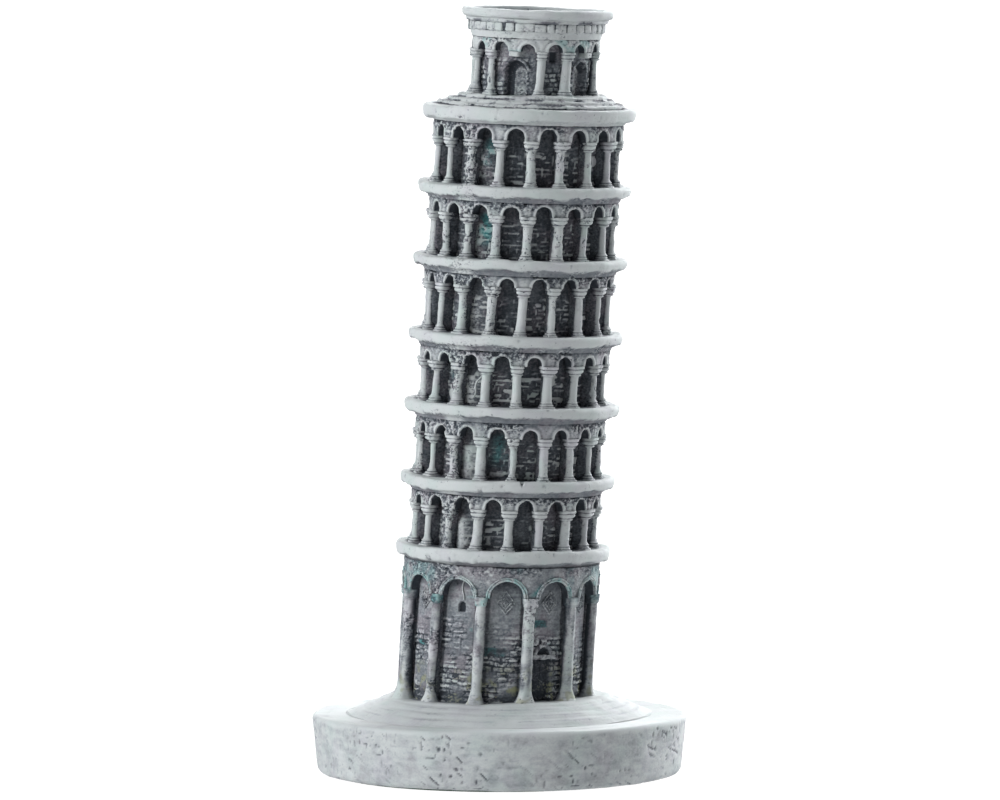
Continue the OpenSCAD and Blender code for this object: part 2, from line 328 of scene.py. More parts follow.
def outline(*corners: tuple[float, float, float]) -> tuple[Array, Array]:
    """Points along a turned piece's outline.

    Args:
        corners: Radius, height and the spacing of the points that lead up to that corner.

    Returns:
        The radius and the height of each point.
    """
    radius, height = [corners[0][0]], [corners[0][1]]
    for (r0, z0, _), (r1, z1, step) in zip(corners, corners[1:]):
        count = max(1, round(math.hypot(r1 - r0, z1 - z0) / step))
        share = np.arange(1, count + 1) / count
        radius.extend(r0 + (r1 - r0) * share)
        height.extend(z0 + (z1 - z0) * share)
    return np.array(radius), np.array(height)


def turned(radius: Array, height: Array, bearings: Array) -> Array:
    """Points of a turned surface.

    Args:
        radius: Radius per row, or per row and column.
        height: Height in the same form.
        bearings: Bearing of each column, in degrees.

    Returns:
        Points, row by column.
    """
    shape = (len(radius), len(bearings))
    wide = np.broadcast_to(radius if radius.ndim == 2 else radius[:, None], shape)
    high = np.broadcast_to(height if height.ndim == 2 else height[:, None], shape)
    angle = np.radians(bearings)[None, :]
    return np.stack([wide * np.cos(angle), wide * np.sin(angle), high + 0.0 * angle], axis=-1)


def even_bearings(radius: float, step: float) -> Array:
    """Bearings all round, with points about step apart at that radius."""
    count = int(TURN * radius / step)
    return np.arange(count) * 360.0 / count


# ---------------------------------------------------------------------------------------------
# The leaning axis
# ---------------------------------------------------------------------------------------------


@dataclass(frozen=True)
class Drum:
    """How far a CAD node reaches in tower space."""

    radius: float
    inner: float
    low: float
    high: float

    @property
    def middle(self) -> float:
        """Height of its middle."""
        return (self.low + self.high) / 2


@dataclass(frozen=True)
class Lean:
    """The tower's own axis: where it stands, and how far it leans towards +X.

    The floors settled less than the axis leans, and the belfry was set a little to one side.
    """

    foot_x: float
    foot_z: float
    angle: float
    belfry_z: float
    settle: float = math.radians(1.5)
    belfry_over: float = 0.45

    @classmethod
    def from_frame(cls) -> "Lean":
        """The axis through the lowest and the highest cornice, from the foot's level up."""
        ends = []
        for name in ("cornice_1", "cornice_7"):
            low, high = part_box(name)
            ends.append((low + high) / 2 / MM)
        angle = math.atan2(ends[1].x - ends[0].x, ends[1].z - ends[0].z)
        foot_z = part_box("foot_steps")[1].z / MM
        foot_x = ends[0].x - (ends[0].z - foot_z) * math.tan(angle)
        return cls(foot_x, foot_z, angle, (ends[1].z - foot_z) / math.cos(angle))

    def place(self, points: Array) -> Array:
        """Tower space in mm to the row frame in metres."""
        x, y, z = points[..., 0], points[..., 1], points[..., 2]
        tilt = self.angle - self.settle
        over = self.belfry_over * ease(self.belfry_z, self.belfry_z + 5, z)
        moved = [
            self.foot_x + x * math.cos(self.angle) + z * math.sin(self.angle) + over,
            y,
            self.foot_z - x * math.sin(tilt) + z * math.cos(self.angle),
        ]
        return np.stack(moved, axis=-1) * MM

    def drum(self, node: str) -> Drum:
        """How far a CAD node reaches in tower space."""
        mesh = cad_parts[node].data
        flat = np.zeros(len(mesh.vertices) * 3)
        mesh.vertices.foreach_get("co", flat)
        world = flat.reshape(-1, 3) / MM - np.array([self.foot_x, 0, self.foot_z])
        across, up = math.cos(self.angle), math.sin(self.angle)
        x = world[:, 0] * across - world[:, 2] * up
        z = world[:, 0] * up + world[:, 2] * across
        radius = np.hypot(x, world[:, 1])
        return Drum(radius.max(), radius.min(), z.min(), z.max())

    def level(self, bearings: Values, radius: float) -> Values:
        """Height in tower space of the foot's level plane, at these bearings."""
        return radius * np.cos(np.radians(bearings)) * math.tan(self.angle - self.settle)


def upright(points: Array) -> Array:
    """Row frame in mm to the row frame in metres, for what doesn't lean."""
    return points * MM


# ---------------------------------------------------------------------------------------------
# Shader maths and the finishes
# ---------------------------------------------------------------------------------------------


@dataclass(frozen=True)
class Signal:
    """A value in a shader. Using it in an expression adds the Math nodes for it."""

    graph: "Graph"
    socket: bpy.types.NodeSocket

    def _math(self, operation: str, first: Any, second: Any) -> "Signal":
        """One Math node."""
        made = self.graph.add("ShaderNodeMath", {"operation": operation}, {0: first, 1: second})
        return Signal(self.graph, made.outputs[0])

    def __add__(self, other: Any) -> "Signal":
        """Sum."""
        return self._math("ADD", self, other)

    def __radd__(self, other: Any) -> "Signal":
        """Sum, with a number first."""
        return self._math("ADD", other, self)

    def __sub__(self, other: Any) -> "Signal":
        """Difference."""
        return self._math("SUBTRACT", self, other)

    def __rsub__(self, other: Any) -> "Signal":
        """Difference, with a number first."""
        return self._math("SUBTRACT", other, self)

    def __mul__(self, other: Any) -> "Signal":
        """Product."""
        return self._math("MULTIPLY", self, other)

    def __rmul__(self, other: Any) -> "Signal":
        """Product, with a number first."""
        return self._math("MULTIPLY", other, self)

    def ease(self, low: float, high: float) -> "Signal":
        """Smooth step from 0 at low to 1 at high."""
        settings = {"interpolation_type": "SMOOTHSTEP", "clamp": True}
        made = self.graph.add("ShaderNodeMapRange", settings, {0: self, 1: low, 2: high})
        return Signal(self.graph, made.outputs[0])


class Graph:
    """The nodes of a material or of the world."""

    def __init__(self, owner: Union[bpy.types.Material, bpy.types.World]) -> None:
        """Starts with no nodes."""
        owner.use_nodes = True
        self.owner = owner
        self.tree = owner.node_tree
        self.tree.nodes.clear()

    def add(self, kind: str, settings: dict[str, Any], sockets: dict[Any, Any]) -> bpy.types.Node:
        """Adds a node.

        Args:
            kind: Blender's name for the type of node.
            settings: The node's own properties, set first.
            sockets: Values or links, by the socket's place, identifier or name.

        Returns:
            The new node.
        """
        made = self.tree.nodes.new(kind)
        for key, value in settings.items():
            setattr(made, key, value)
        by_identifier = {socket.identifier: socket for socket in made.inputs}
        for key, value in sockets.items():
            target = by_identifier[key] if key in by_identifier else made.inputs[key]
            source = value.socket if isinstance(value, Signal) else value
            if isinstance(source, bpy.types.NodeSocket):
                self.tree.links.new(source, target)
            else:
                target.default_value = source
        return made

    def layer(self, name: str) -> Signal:
        """A value stored on the mesh's points."""
        return Signal(self, self.add("ShaderNodeAttribute", {"attribute_name": name}, {}).outputs["Fac"])

    def place(self, output: str = "Object") -> bpy.types.NodeSocket:
        """Where the shaded point is."""
        return self.add("ShaderNodeTexCoord", {}, {}).outputs[output]

    def height(self) -> Signal:
        """Height above the table, in metres."""
        return Signal(self, self.add("ShaderNodeSeparateXYZ", {}, {0: self.place()}).outputs["Z"])

    def noise(self, size: float, detail: float = 2.0, shift: float = 0.0, flat: float = 1.0) -> Signal:
        """Noise, 0 to 1.

        Args:
            size: Size of its lumps in mm.
            detail: How many finer layers it has.
            shift: Moves it in space, to give another noise of the same kind.
            flat: How many times wider than tall its lumps are.

        Returns:
            The noise.
        """
        settings = {"operation": "MULTIPLY_ADD"}
        stretch = {0: self.place(), 1: (1, 1, flat), 2: (shift, shift, shift)}
        moved = self.add("ShaderNodeVectorMath", settings, stretch)
        sockets = {"Vector": moved.outputs[0], "Scale": 1 / (size * MM), "Detail": detail}
        return Signal(self, self.add("ShaderNodeTexNoise", {}, sockets).outputs["Fac"])

    def mix(self, factor: Any, first: Any, second: Any) -> bpy.types.NodeSocket:
        """A colour between two colours."""
        first, second = ((*c, 1.0) if isinstance(c, tuple) else c for c in (first, second))
        sockets = {"Factor_Float": factor, "A_Color": first, "B_Color": second}
        made = self.add("ShaderNodeMix", {"data_type": "RGBA"}, sockets)
        return next(out for out in made.outputs if out.identifier == "Result_Color")

    def finish(self, sockets: dict[str, Any]) -> bpy.types.Material:
        """Ends a material in a Principled shader with these sockets."""
        shader = self.add("ShaderNodeBsdfPrincipled", {}, sockets)
        self.add("ShaderNodeOutputMaterial", {}, {"Surface": shader.outputs[0]})
        return self.owner


@dataclass(frozen=True)
class Paint:
    """What every finish has: the slot that it fills."""

    slot: Slot

    def material(self) -> bpy.types.Material:
        """The material, made once."""
        name = f"{self.slot.value}_finish"
        return bpy.data.materials.get(name) or self.make(Graph(bpy.data.materials.new(name)))

    def make(self, g: Graph) -> bpy.types.Material:
        """Makes the material from an empty graph."""
        raise NotImplementedError


@dataclass(frozen=True)
class ResinPaint(Paint):
    """Painted cast resin: wash in the hollows, pale paint on what stands proud.

    The mesh's "paint" layer says how much of the pale paint a point holds, and is also lowered where
    shade is painted; its "crumb" layer says how badly the surface crumbles, and its "teal" layer how
    much of the blue-green tint it has.
    """

    pale: Colour = (0.385, 0.412, 0.420)
    green_pale: Colour = (0.335, 0.398, 0.390)
    violet_pale: Colour = (0.368, 0.372, 0.408)
    middle: Colour = (0.130, 0.144, 0.162)
    mauve: Colour = (0.162, 0.150, 0.172)
    # Charcoal of the wash in the hollows, also the colour of the painted shade.
    wash_and_shade: Colour = (0.034, 0.041, 0.050)
    teal: Colour = (0.040, 0.150, 0.160)
    teal_pale: Colour = (0.190, 0.345, 0.345)
    olive: Colour = (0.20, 0.21, 0.115)
    tints: float = 0.7
    blotch: float = 0.32
    grain: float = 0.34
    crumble: float = 1.6
    speck: float = 0.8
    moss: float = 0.0
    roughness: float = 0.75
    relief: float = 0.00014

    def make(self, g: Graph) -> bpy.types.Material:
        """Makes the material from an empty graph."""
        crumb = g.layer("crumb")
        blotch, grain = g.noise(1.9, 3.0), g.noise(0.50, 2.0, 3.1, 1.3)
        shaken = (blotch - 0.5) * self.blotch + (grain - 0.5) * (self.grain + self.crumble * crumb)
        level = g.layer("paint") + shaken
        pale = g.mix(g.noise(8.0, 2.0, 7.7).ease(0.40, 0.60), self.green_pale, self.violet_pale)
        plain = g.noise(5.0, 2.0, 1.3).ease(0.35, 0.6) * self.tints + (1 - self.tints)
        pale = g.mix(plain, pale, self.pale)
        middle = g.mix(g.noise(6.0, 2.0, 4.4).ease(0.46, 0.60) * self.tints, self.middle, self.mauve)
        # Low paint levels take the charcoal: wash in the hollows, and painted shade where the layer was
        # lowered for it.
        colour = g.mix(level.ease(0.0, 0.5), self.wash_and_shade, middle)
        colour = g.mix(level.ease(0.34, 0.9), colour, pale)
        if self.moss:
            low_down = 1 - g.height().ease(0.0175, 0.026)
            mossy = low_down * g.noise(2.2, 2.0, 5.5).ease(0.5, 0.62) * level.ease(0.1, 0.5)
            colour = g.mix(mossy * self.moss, colour, self.olive)
        tinted = g.layer("teal") * g.noise(1.7, 2.0, 9.2).ease(0.36, 0.58) * level.ease(-0.1, 0.4)
        colour = g.mix(tinted, colour, g.mix(level.ease(0.25, 0.7), self.teal, self.teal_pale))
        specks = (g.noise(0.55, 1.0, 11.0) + crumb * 0.15).ease(0.74, 0.78) * self.speck
        colour = g.mix(specks, colour, self.wash_and_shade)
        height = grain * (0.5 + crumb) + g.noise(0.17, 1.0, 2.2) * 0.2 - specks
        bump = {"Strength": 0.6, "Distance": self.relief, "Height": height}
        normal = g.add("ShaderNodeBump", {}, bump)
        rough = self.roughness + (grain - 0.5) * 0.25 + (1 - level.ease(0.2, 0.8)) * 0.15
        sockets = {"Base Color": colour, "Roughness": rough, "Normal": normal.outputs[0]}
        return g.finish({**sockets, "Specular IOR Level": 0.15})


@dataclass(frozen=True)
class FeltPaint(Paint):
    """Short-pile felt."""

    dark: Colour = (0.012, 0.030, 0.020)
    light: Colour = (0.035, 0.075, 0.052)

    def make(self, g: Graph) -> bpy.types.Material:
        """Makes the material from an empty graph."""
        fibre = g.noise(0.35, 4.0)
        colour = g.mix(fibre.ease(0.3, 0.7), self.dark, self.light)
        normal = g.add("ShaderNodeBump", {}, {"Strength": 0.8, "Distance": 0.0002, "Height": fibre})
        return g.finish({"Base Color": colour, "Roughness": 0.95, "Normal": normal.outputs[0]})


# ---------------------------------------------------------------------------------------------
# What the mould and the caster's hand leave everywhere
# ---------------------------------------------------------------------------------------------


@dataclass(frozen=True)
class Mould:
    """The mould's faults: a crumbling seam each side, and rougher casting beyond it."""

    seams: tuple[float, ...] = (234.0, 54.0)
    seam_width: float = 8.0
    flank: float = 200.0
    flank_width: float = 38.0
    grain: Grain = Grain(11)

    def fault(self, bearings: Values) -> Values:
        """How badly the casting crumbles at each bearing, from 0 to 1."""
        total = sum(hump(0.0, self.seam_width, turn_apart(bearings, seam)) for seam in self.seams)
        for flank in (self.flank, self.flank + 180):
            total = total + 0.2 * hump(0.0, self.flank_width, turn_apart(bearings, flank))
        return np.minimum(total, 1.0)

    def relief(self, points: Array, crumb: Values = 0.0) -> Array:
        """Lumps and pits of the casting, in mm.

        Args:
            points: Points in mm.
            crumb: How badly each point crumbles, 0 to 1.

        Returns:
            How far each point stands out.
        """
        lumps = self.grain.rough(points, 1.7, 3) * (0.07 + 0.18 * crumb)
        fine = self.grain.smooth(points, 0.55) * (0.02 + 0.11 * crumb)
        pits = self.grain.spots(points, 0.75, 0.07 + 0.23 * crumb) * (0.08 + 0.16 * crumb)
        return lumps + fine - pits

    def weather(self, skin: Skin, crumb: Values = 0.0, size: float = 1.0, brush: float = 2.6) -> None:
        """Gives a skin the mould's relief, with wash in its hollows.

        Args:
            skin: The skin, changed in place.
            crumb: How badly each point crumbles, 0 to 1.
            size: Scales the relief.
            brush: Paint that a point gains for each mm that it stands over its neighbours.
        """
        skin.crumb = np.clip(skin.crumb + crumb, 0, 1)
        skin.push(self.relief(skin.points, skin.crumb) * size, brush)


MOULD = Mould()
GRAIN = MOULD.grain


@dataclass(frozen=True)
class Masonry:
    """Raised joints between squared stones on a round wall."""

    course: float = 0.85
    stone: float = 1.9
    line: float = 0.15
    kept: float = 0.45
    proud: float = 0.2
    grain: Grain = Grain(23)

    def joints(self, points: Array, radius: float) -> Array:
        """How much a raised joint stands at each point of a round wall, from 0 to 1."""
        bearings, height = bearing_of(points) % 360, points[..., 2]
        around = int(TURN * radius / self.stone)
        level = (height + 0.14 * self.grain.smooth(points, 3.0)) / self.course
        course = np.floor(level)
        stagger = self.grain.cell(course, course * 0)
        along = bearings / 360.0 * around + stagger + 0.10 * self.grain.smooth(points, 1.5)
        bed, head = np.round(level), np.round(along)
        from_bed = np.abs(level - bed) * self.course
        from_head = np.abs(along - head) * self.stone
        stone = np.floor(along) % around
        bed_cell = self.grain.cell(stone, bed, bed * 0 + 5)
        head_cell = self.grain.cell(head % around, course, course * 0 + 9)
        bed_kept = ease(1 - self.kept - 0.15, 1 - self.kept + 0.15, bed_cell)
        head_kept = ease(1.05 - self.kept, 1.25 - self.kept, head_cell)
        broken = ease(-0.55, 0.15, self.grain.smooth(points + 40, 0.9))
        beds, heads = hump(0, self.line, from_bed) * bed_kept, hump(0, self.line, from_head) * head_kept
        return np.maximum(beds, heads) * broken


@dataclass(frozen=True)
class Stones:
    """Squared stones that stand proud of their joints, some of them lost."""

    course: float = 1.05
    stone: float = 2.6
    joint: float = 0.16
    grain: Grain = Grain(29)

    def proud(self, points: Array, radius: float) -> Array:
        """How far each point of a round wall stands out, from 0 in a joint to 1."""
        bearings, height = bearing_of(points) % 360, points[..., 2]
        around = int(TURN * radius / self.stone)
        level = (height + 0.24 * self.grain.smooth(points, 2.6)) / self.course
        course = np.floor(level)
        along = bearings / 360.0 * around + self.grain.cell(course, course * 0)
        along = along + 0.28 * self.grain.smooth(points, 1.6)
        from_bed = np.abs(level - np.round(level)) * self.course
        from_head = np.abs(along - np.round(along)) * self.stone
        stone = self.grain.cell(np.floor(along) % around, course, course * 0 + 3)
        face = ease(0.02, self.joint + 0.1, from_bed) * ease(0.02, self.joint + 0.1, from_head)
        return face * (0.35 + 0.65 * stone)


# ---------------------------------------------------------------------------------------------
# Shared architectural pieces
# ---------------------------------------------------------------------------------------------


@dataclass(frozen=True)
class ColumnForm:
    """One column: a square foot, a round base, a shaft, a bell capital and a soft abacus."""

    low: float
    high: float
    ring: float
    shaft: float = 0.84
    base: float = 1.30
    base_h: float = 1.15
    capital: float = 1.42
    capital_h: float = 1.75
    plain: bool = False
    slimmed: float = 0.27
    sides: int = 24

    def feet(self) -> list[tuple[float, float, float]]:
        """Height, half width and squareness at each corner of the foot."""
        b = self.base_h
        if self.plain:
            return [
                (0.0, self.base * 1.35, 0.3),
                (0.35 * b, self.base * 1.05, 0.3),
                (0.7 * b, self.base * 0.86, 0.2),
                (1.15 * b, self.shaft, 0.0),
            ]
        return [
            (0.0, self.base * 1.08, 0.9),
            (0.36 * b, self.base * 1.05, 0.9),
            (0.44 * b, self.base * 0.82, 0.3),
            (0.56 * b, self.base * 0.98, 0.05),
            (0.76 * b, self.base * 0.96, 0.0),
            (0.84 * b, self.shaft * 0.98, 0.0),
            (0.98 * b, self.shaft * 1.18, 0.0),
            (1.12 * b, self.shaft * 1.14, 0.0),
            (1.24 * b, self.shaft, 0.0),
        ]

    def head(self, top: float) -> list[tuple[float, float, float]]:
        """Height, half width and squareness at each corner of the capital."""
        c = self.capital_h
        if self.plain:
            return [
                (top - c - 0.15, self.shaft * 0.93, 0.0),
                (top - c + 0.05, self.capital * 0.9, 0.7),
                (top - 0.15 * c, self.capital, 0.8),
                (top, self.capital * 1.05, 0.8),
            ]
        return [
            (top - c - 0.30, self.shaft * 0.92, 0.0),
            (top - c - 0.16, self.shaft * 1.24, 0.0),
            (top - c + 0.08, self.shaft * 1.24, 0.0),
            (top - 0.90 * c, self.shaft * 0.98, 0.1),
            (top - 0.80 * c, self.capital * 0.86, 0.4),
            (top - 0.66 * c, self.capital * 1.0, 0.5),
            (top - 0.46 * c, self.capital * 1.0, 0.55),
            (top - 0.38 * c, self.capital * 0.86, 0.5),
            (top - 0.29 * c, self.capital * 1.07, 0.8),
            (top - 0.06 * c, self.capital * 1.07, 0.8),
            (top, self.capital * 1.0, 0.7),
        ]

    def outline(self) -> tuple[Array, Array, Array]:
        """Height, half width and squareness of each row."""
        b, c, top = self.base_h, self.capital_h, self.high - self.low
        corners = self.feet() + self.head(top)
        heights, widths, squares = (np.array(part) for part in zip(*corners))
        foot = np.arange(0, 1.3 * b, 0.09)
        head = np.linspace(top - c - 0.45, top, int((c + 0.45) / 0.095))
        shaft = np.linspace(1.3 * b, head[0], max(4, int((head[0] - 1.3 * b) / 0.3)))
        rows = np.concatenate([foot, shaft[:-1], head])
        return rows, np.interp(rows, heights, widths), np.interp(rows, heights, squares)

    def skin(self, bearing: float, dice: np.random.Generator) -> Skin:
        """One column, with its own small faults.

        Args:
            bearing: Where it stands.
            dice: Source of its faults.

        Returns:
            Its skin in tower space.
        """
        fault = float(MOULD.fault(bearing))
        rows, half, square = self.outline()
        top = rows[-1]
        share = rows / top
        angle = (np.arange(self.sides) + 0.5) / self.sides * TURN
        power = 2 + 6 * square[:, None]
        loop = (np.abs(np.cos(angle)) ** power + np.abs(np.sin(angle)) ** power) ** (-1 / power)
        beta = math.radians(bearing)
        in_shaft = ease(self.base_h, self.base_h + 0.8, rows) * ease(0, 0.5, top - self.capital_h - rows)
        slim = 1 - self.slimmed * in_shaft * float(ease(0.5, 0.92, abs(math.cos(beta))))
        loose = 1 + fault
        width = half * slim * (1 + dice.normal(0, 0.055) * loose)
        swell = 1 + 0.045 * loose * np.sin(share * dice.uniform(3, 9) + dice.uniform(0, 6))
        width = width * swell
        out = width[:, None] * loop * np.cos(angle)
        side = width[:, None] * loop * np.sin(angle) * (1 + dice.normal(0, 0.05))
        ends_out, ends_side = dice.normal(0, 0.05, 2) * loose, dice.normal(0, 0.13, 2) * loose
        out += (ends_out[0] * (1 - share) + ends_out[1] * share)[:, None]
        bend = dice.normal(0, 0.07) * loose * np.sin(share * math.pi)
        side += (ends_side[0] * (1 - share) + ends_side[1] * share + bend)[:, None]
        x = (self.ring + out) * math.cos(beta) - side * math.sin(beta)
        y = (self.ring + out) * math.sin(beta) + side * math.cos(beta)
        skin = Skin.of(np.stack([x, y, self.low + rows[:, None] + 0 * x], axis=-1))
        # The side of each column that faces the wall is painted dark: painted shade between column and
        # wall.
        facing = ease(-0.75, 0.35, np.cos(angle))[None, :]
        b, c = self.base_h, self.capital_h
        creases = 0.42 * hump(0.44 * b, 0.12, rows) + 0.42 * hump(0.85 * b, 0.12, rows)
        creases += 0.45 * hump(top - 0.91 * c, 0.13, rows) + 0.42 * hump(top - 0.39 * c, 0.11, rows)
        creases += 0.2 * hump(top - c - 0.3, 0.14, rows) + 0.2 * hump(top, 0.14, rows)
        creases *= 0.25 if self.plain else 1.0
        worn = GRAIN.rough(skin.points + 17, 2.4, 2)
        skin.paint = 0.10 + (0.80 - creases[:, None] + 0.16 * worn) * facing
        spotted = 0.16 + 0.5 * float(dice.random() < 0.42) + 0.8 * fault
        patchy = ease(-0.4, 0.4, GRAIN.smooth(skin.points + 8, 2.5))
        skin.paint = skin.paint - 0.25 * fault * patchy
        MOULD.weather(skin, spotted * patchy)
        return skin

    def web(self, bearing: float, wall: float) -> Skin:
        """The web of resin that joins the column to the wall behind it.

        Args:
            bearing: Where the column stands.
            wall: Radius of the wall.

        Returns:
            Its skin in tower space.
        """
        deep = (self.ring - wall) / 2 + 0.15
        tall = (self.high - self.low) / 2
        skin = block(bearing, wall + deep - 0.3, (self.high + self.low) / 2, deep, 0.66, tall)
        skin.paint = 0.28 + 0.16 * GRAIN.rough(skin.points + 4, 2.0, 2)
        return skin


@dataclass(frozen=True)
class ArchRing:
    """A ring wall cut by round arches, one over each bay."""

    drum: Drum
    bays: int
    column_bearing: float
    arch: float
    stilt: float
    lip: float = 0.14
    lip_width: float = 0.5
    # Darkening towards the top of the ring: wash and painted shade under the cornice.
    top_wash_and_shade: float = 0.45
    crumb: float = 0.9
    paint: float = 0.70
    seed: int = 1
    row_step: float = 0.2

    def stations(self, arch: float, stilt: float) -> tuple[Array, Array]:
        """One bay from column to column: place along the wall, and height of its lower edge."""
        half = math.pi * self.drum.radius / self.bays
        flat = np.linspace(-half, -arch - 0.1, 8)
        jamb = -arch - 0.1 + 0.1 * np.arange(1, 4) / 4
        sweep = np.linspace(math.pi, math.pi / 2, max(11, int(arch * 5)))
        left = np.concatenate([flat, jamb, arch * np.cos(sweep)])
        rise = np.concatenate([flat * 0, stilt * np.arange(1, 4) / 4, stilt + arch * np.sin(sweep)])
        return np.concatenate([left, -left[-2:0:-1]]), np.concatenate([rise, rise[-2:0:-1]])

    def skin(self) -> Skin:
        """The ring's skin in tower space, with a lip round each arch."""
        dice = np.random.default_rng(self.seed)
        bearings, edges, lips = [], [], []
        half = math.pi * self.drum.radius / self.bays
        for bay in range(self.bays):
            middle = self.column_bearing + (bay + 0.5) * 360 / self.bays
            fault = float(MOULD.fault(middle))
            arch = self.arch * (1 + dice.normal(0, 0.02 + 0.03 * fault))
            stilt = max(0.05, self.stilt + dice.normal(0, 0.07 + 0.1 * fault))
            along, edge = self.stations(arch, stilt)
            bearings.append(middle + along / half * 180 / self.bays)
            edges.append(edge)
            lips.append(np.stack([along, np.full_like(along, arch), np.full_like(along, stilt)]))
        along, arch, stilt = np.concatenate(lips, axis=1)
        return self.wrap(np.concatenate(bearings), np.concatenate(edges), along, arch, stilt)

    def wrap(self, bearing: Array, edge: Array, along: Array, arch: Array, stilt: Array) -> Skin:
        """Wraps the section loop round the stations.

        Args:
            bearing: Bearing of each station.
            edge: Height of the lower edge above the ring's foot.
            along: Place of each station from its arch's middle.
            arch: Radius of each station's arch.
            stilt: Straight part of each station's arch.

        Returns:
            The skin in tower space.
        """
        low, high = self.drum.low, self.drum.high
        up = (np.arange(int((high - low) / self.row_step)) / (int((high - low) / self.row_step) - 1)) ** 1.1
        runs = [
            (np.ones(len(up)), up, 1.0),
            (np.array([0.66, 0.33]), np.ones(2), 0.0),
            (np.zeros(6), np.linspace(1, 0, 6), 0.0),
            (np.linspace(0, 1, 8)[1:-1], np.zeros(6), 0.0),
        ]
        depth = np.concatenate([run[0] for run in runs])[:, None]
        rise = np.concatenate([run[1] for run in runs])[:, None]
        front = np.concatenate([np.full(len(run[0]), run[2]) for run in runs])[:, None]
        height = low + edge[None, :] + (high - low - edge[None, :]) * rise
        inner, outer = self.drum.inner, self.drum.radius
        over_edge = height - low - edge[None, :]
        radius = inner + (outer - inner) * depth - front * 0.2 * np.maximum(0, 1 - over_edge / 0.3) ** 2
        skin = Skin.of(turned(radius, height, bearing), self.paint, ring=True)
        above = np.maximum(height - low - stilt[None, :], 0)
        from_edge = np.hypot(along[None, :], above) - arch[None, :]
        fault = MOULD.fault(bearing)[None, :] + 0 * height
        lip = front * hump(0.28, self.lip_width / 2, from_edge)
        gap = front * hump(0.28 + self.lip_width * 1.3, 0.28, from_edge)
        to_top = high - height
        patchy = ease(-0.5, 0.25, GRAIN.smooth(skin.points + 5, 4.5))
        band = ease(2.2, 0.7, to_top) + 0.30
        crumb = front * np.clip(self.crumb * patchy * band * (1 - 0.6 * lip) + 0.8 * fault, 0, 1)
        # Darker towards the top, under the cornice's overhang: wash and painted shade; a thin dark line in
        # the groove beside each lip.
        wash_and_shade = self.top_wash_and_shade * np.exp(-to_top / 0.55) + 0.10 * gap
        smear = 0.16 * GRAIN.rough(skin.points + 5, 2.6, 3)
        # The faces inside the openings and at the back of the ring are painted nearly black: painted shade
        # inside the arches.
        skin.paint = front * (self.paint + 0.22 * lip + smear - wash_and_shade - 0.18 * crumb) + (1 - front) * 0.06
        clods = 0.16 * crumb * GRAIN.smooth(skin.points + 51, 1.1)
        skin.push(self.lip * (lip - 0.5 * gap) - 0.06 * front + clods, 1.2)
        MOULD.weather(skin, crumb)
        return skin


@dataclass(frozen=True)
class Recess:
    """A sunk place in a round wall, square-headed or under a half-round arch."""

    bearing: float
    width: float
    low: float
    spring: float
    arch: float
    depth: float
    # How much darker the inside of the recess is painted: painted shade inside it.
    dark: float = 0.85

    def inside(self, points: Array, radius: float) -> Array:
        """1 inside the recess and 0 outside, with soft edges."""
        height = points[..., 2]
        along = np.abs(np.radians(turn_apart(bearing_of(points), self.bearing)) * radius)
        above = np.maximum(height - self.spring, 0)
        body = ease(self.width / 2 + 0.08, self.width / 2 - 0.08, along)
        body = body * ease(self.low - 0.1, self.low + 0.1, height)
        if self.arch > 0:
            over = ease(1.06, 0.94, np.hypot(along, above) / self.arch)
        else:
            over = body * ease(0.12, -0.02, above)
        return np.where(height > self.spring, over, body)


@dataclass(frozen=True)
class RoundWall:
    """A solid round wall with a brushed face."""

    drum: Drum
    floor: Union[Callable[[Array], Array], None] = None
    step: float = 0.2

    def skin(self) -> Skin:
        """The wall's bare skin in tower space."""
        bearings = even_bearings(self.drum.radius, self.step)
        rows = max(8, int((self.drum.high - self.drum.low) / self.step))
        share = np.linspace(0, 1, rows)[:, None]
        low = self.floor(bearings)[None, :] if self.floor else self.drum.low
        height = low + (self.drum.high - low) * share + 0 * bearings[None, :]
        return Skin.of(turned(self.drum.radius + 0 * height, height, bearings), 0.1)

    def dress(
        self, skin: Skin, relief: Array, paint: Array, crumb: Values, recesses: tuple[Recess, ...] = ()
    ) -> None:
        """Gives the skin its relief, its paint and its recesses.

        Args:
            skin: The wall's bare skin, changed in place.
            relief: How far its masonry stands out, in mm.
            paint: The paint that it holds.
            crumb: How badly it crumbles.
            recesses: What is sunk in it.
        """
        relief = relief + MOULD.relief(skin.points, crumb)
        paint = paint + 1.6 * (relief - blur(relief, 4))
        skin.crumb = np.clip(crumb + 0 * paint, 0, 1)
        for recess in recesses:
            inside = recess.inside(skin.points, self.drum.radius)
            relief = relief * (1 - 0.85 * inside) - recess.depth * inside
            # Inside each recess the paint is darkened: painted shade.
            paint = paint * (1 - recess.dark * inside)
        skin.paint = paint
        skin.push(relief)


def on_wall(bearing: float, wall: float, along: Array, up: Array) -> tuple[Array, Array, Array]:
    """Points on a round wall, with the wall's directions there.

    Args:
        bearing: Bearing of the middle.
        wall: Radius of the wall.
        along: How far each point is from the middle, anticlockwise.
        up: Height of each point.

    Returns:
        The points, the unit vectors out of the wall and the unit vectors along it.
    """
    angle = math.radians(bearing) + along / wall
    out = np.stack([np.cos(angle), np.sin(angle), 0 * angle], axis=-1)
    side = np.stack([-np.sin(angle), np.cos(angle), 0 * angle], axis=-1)
    return out * wall + np.array([0, 0, 1.0]) * up[:, None], out, side


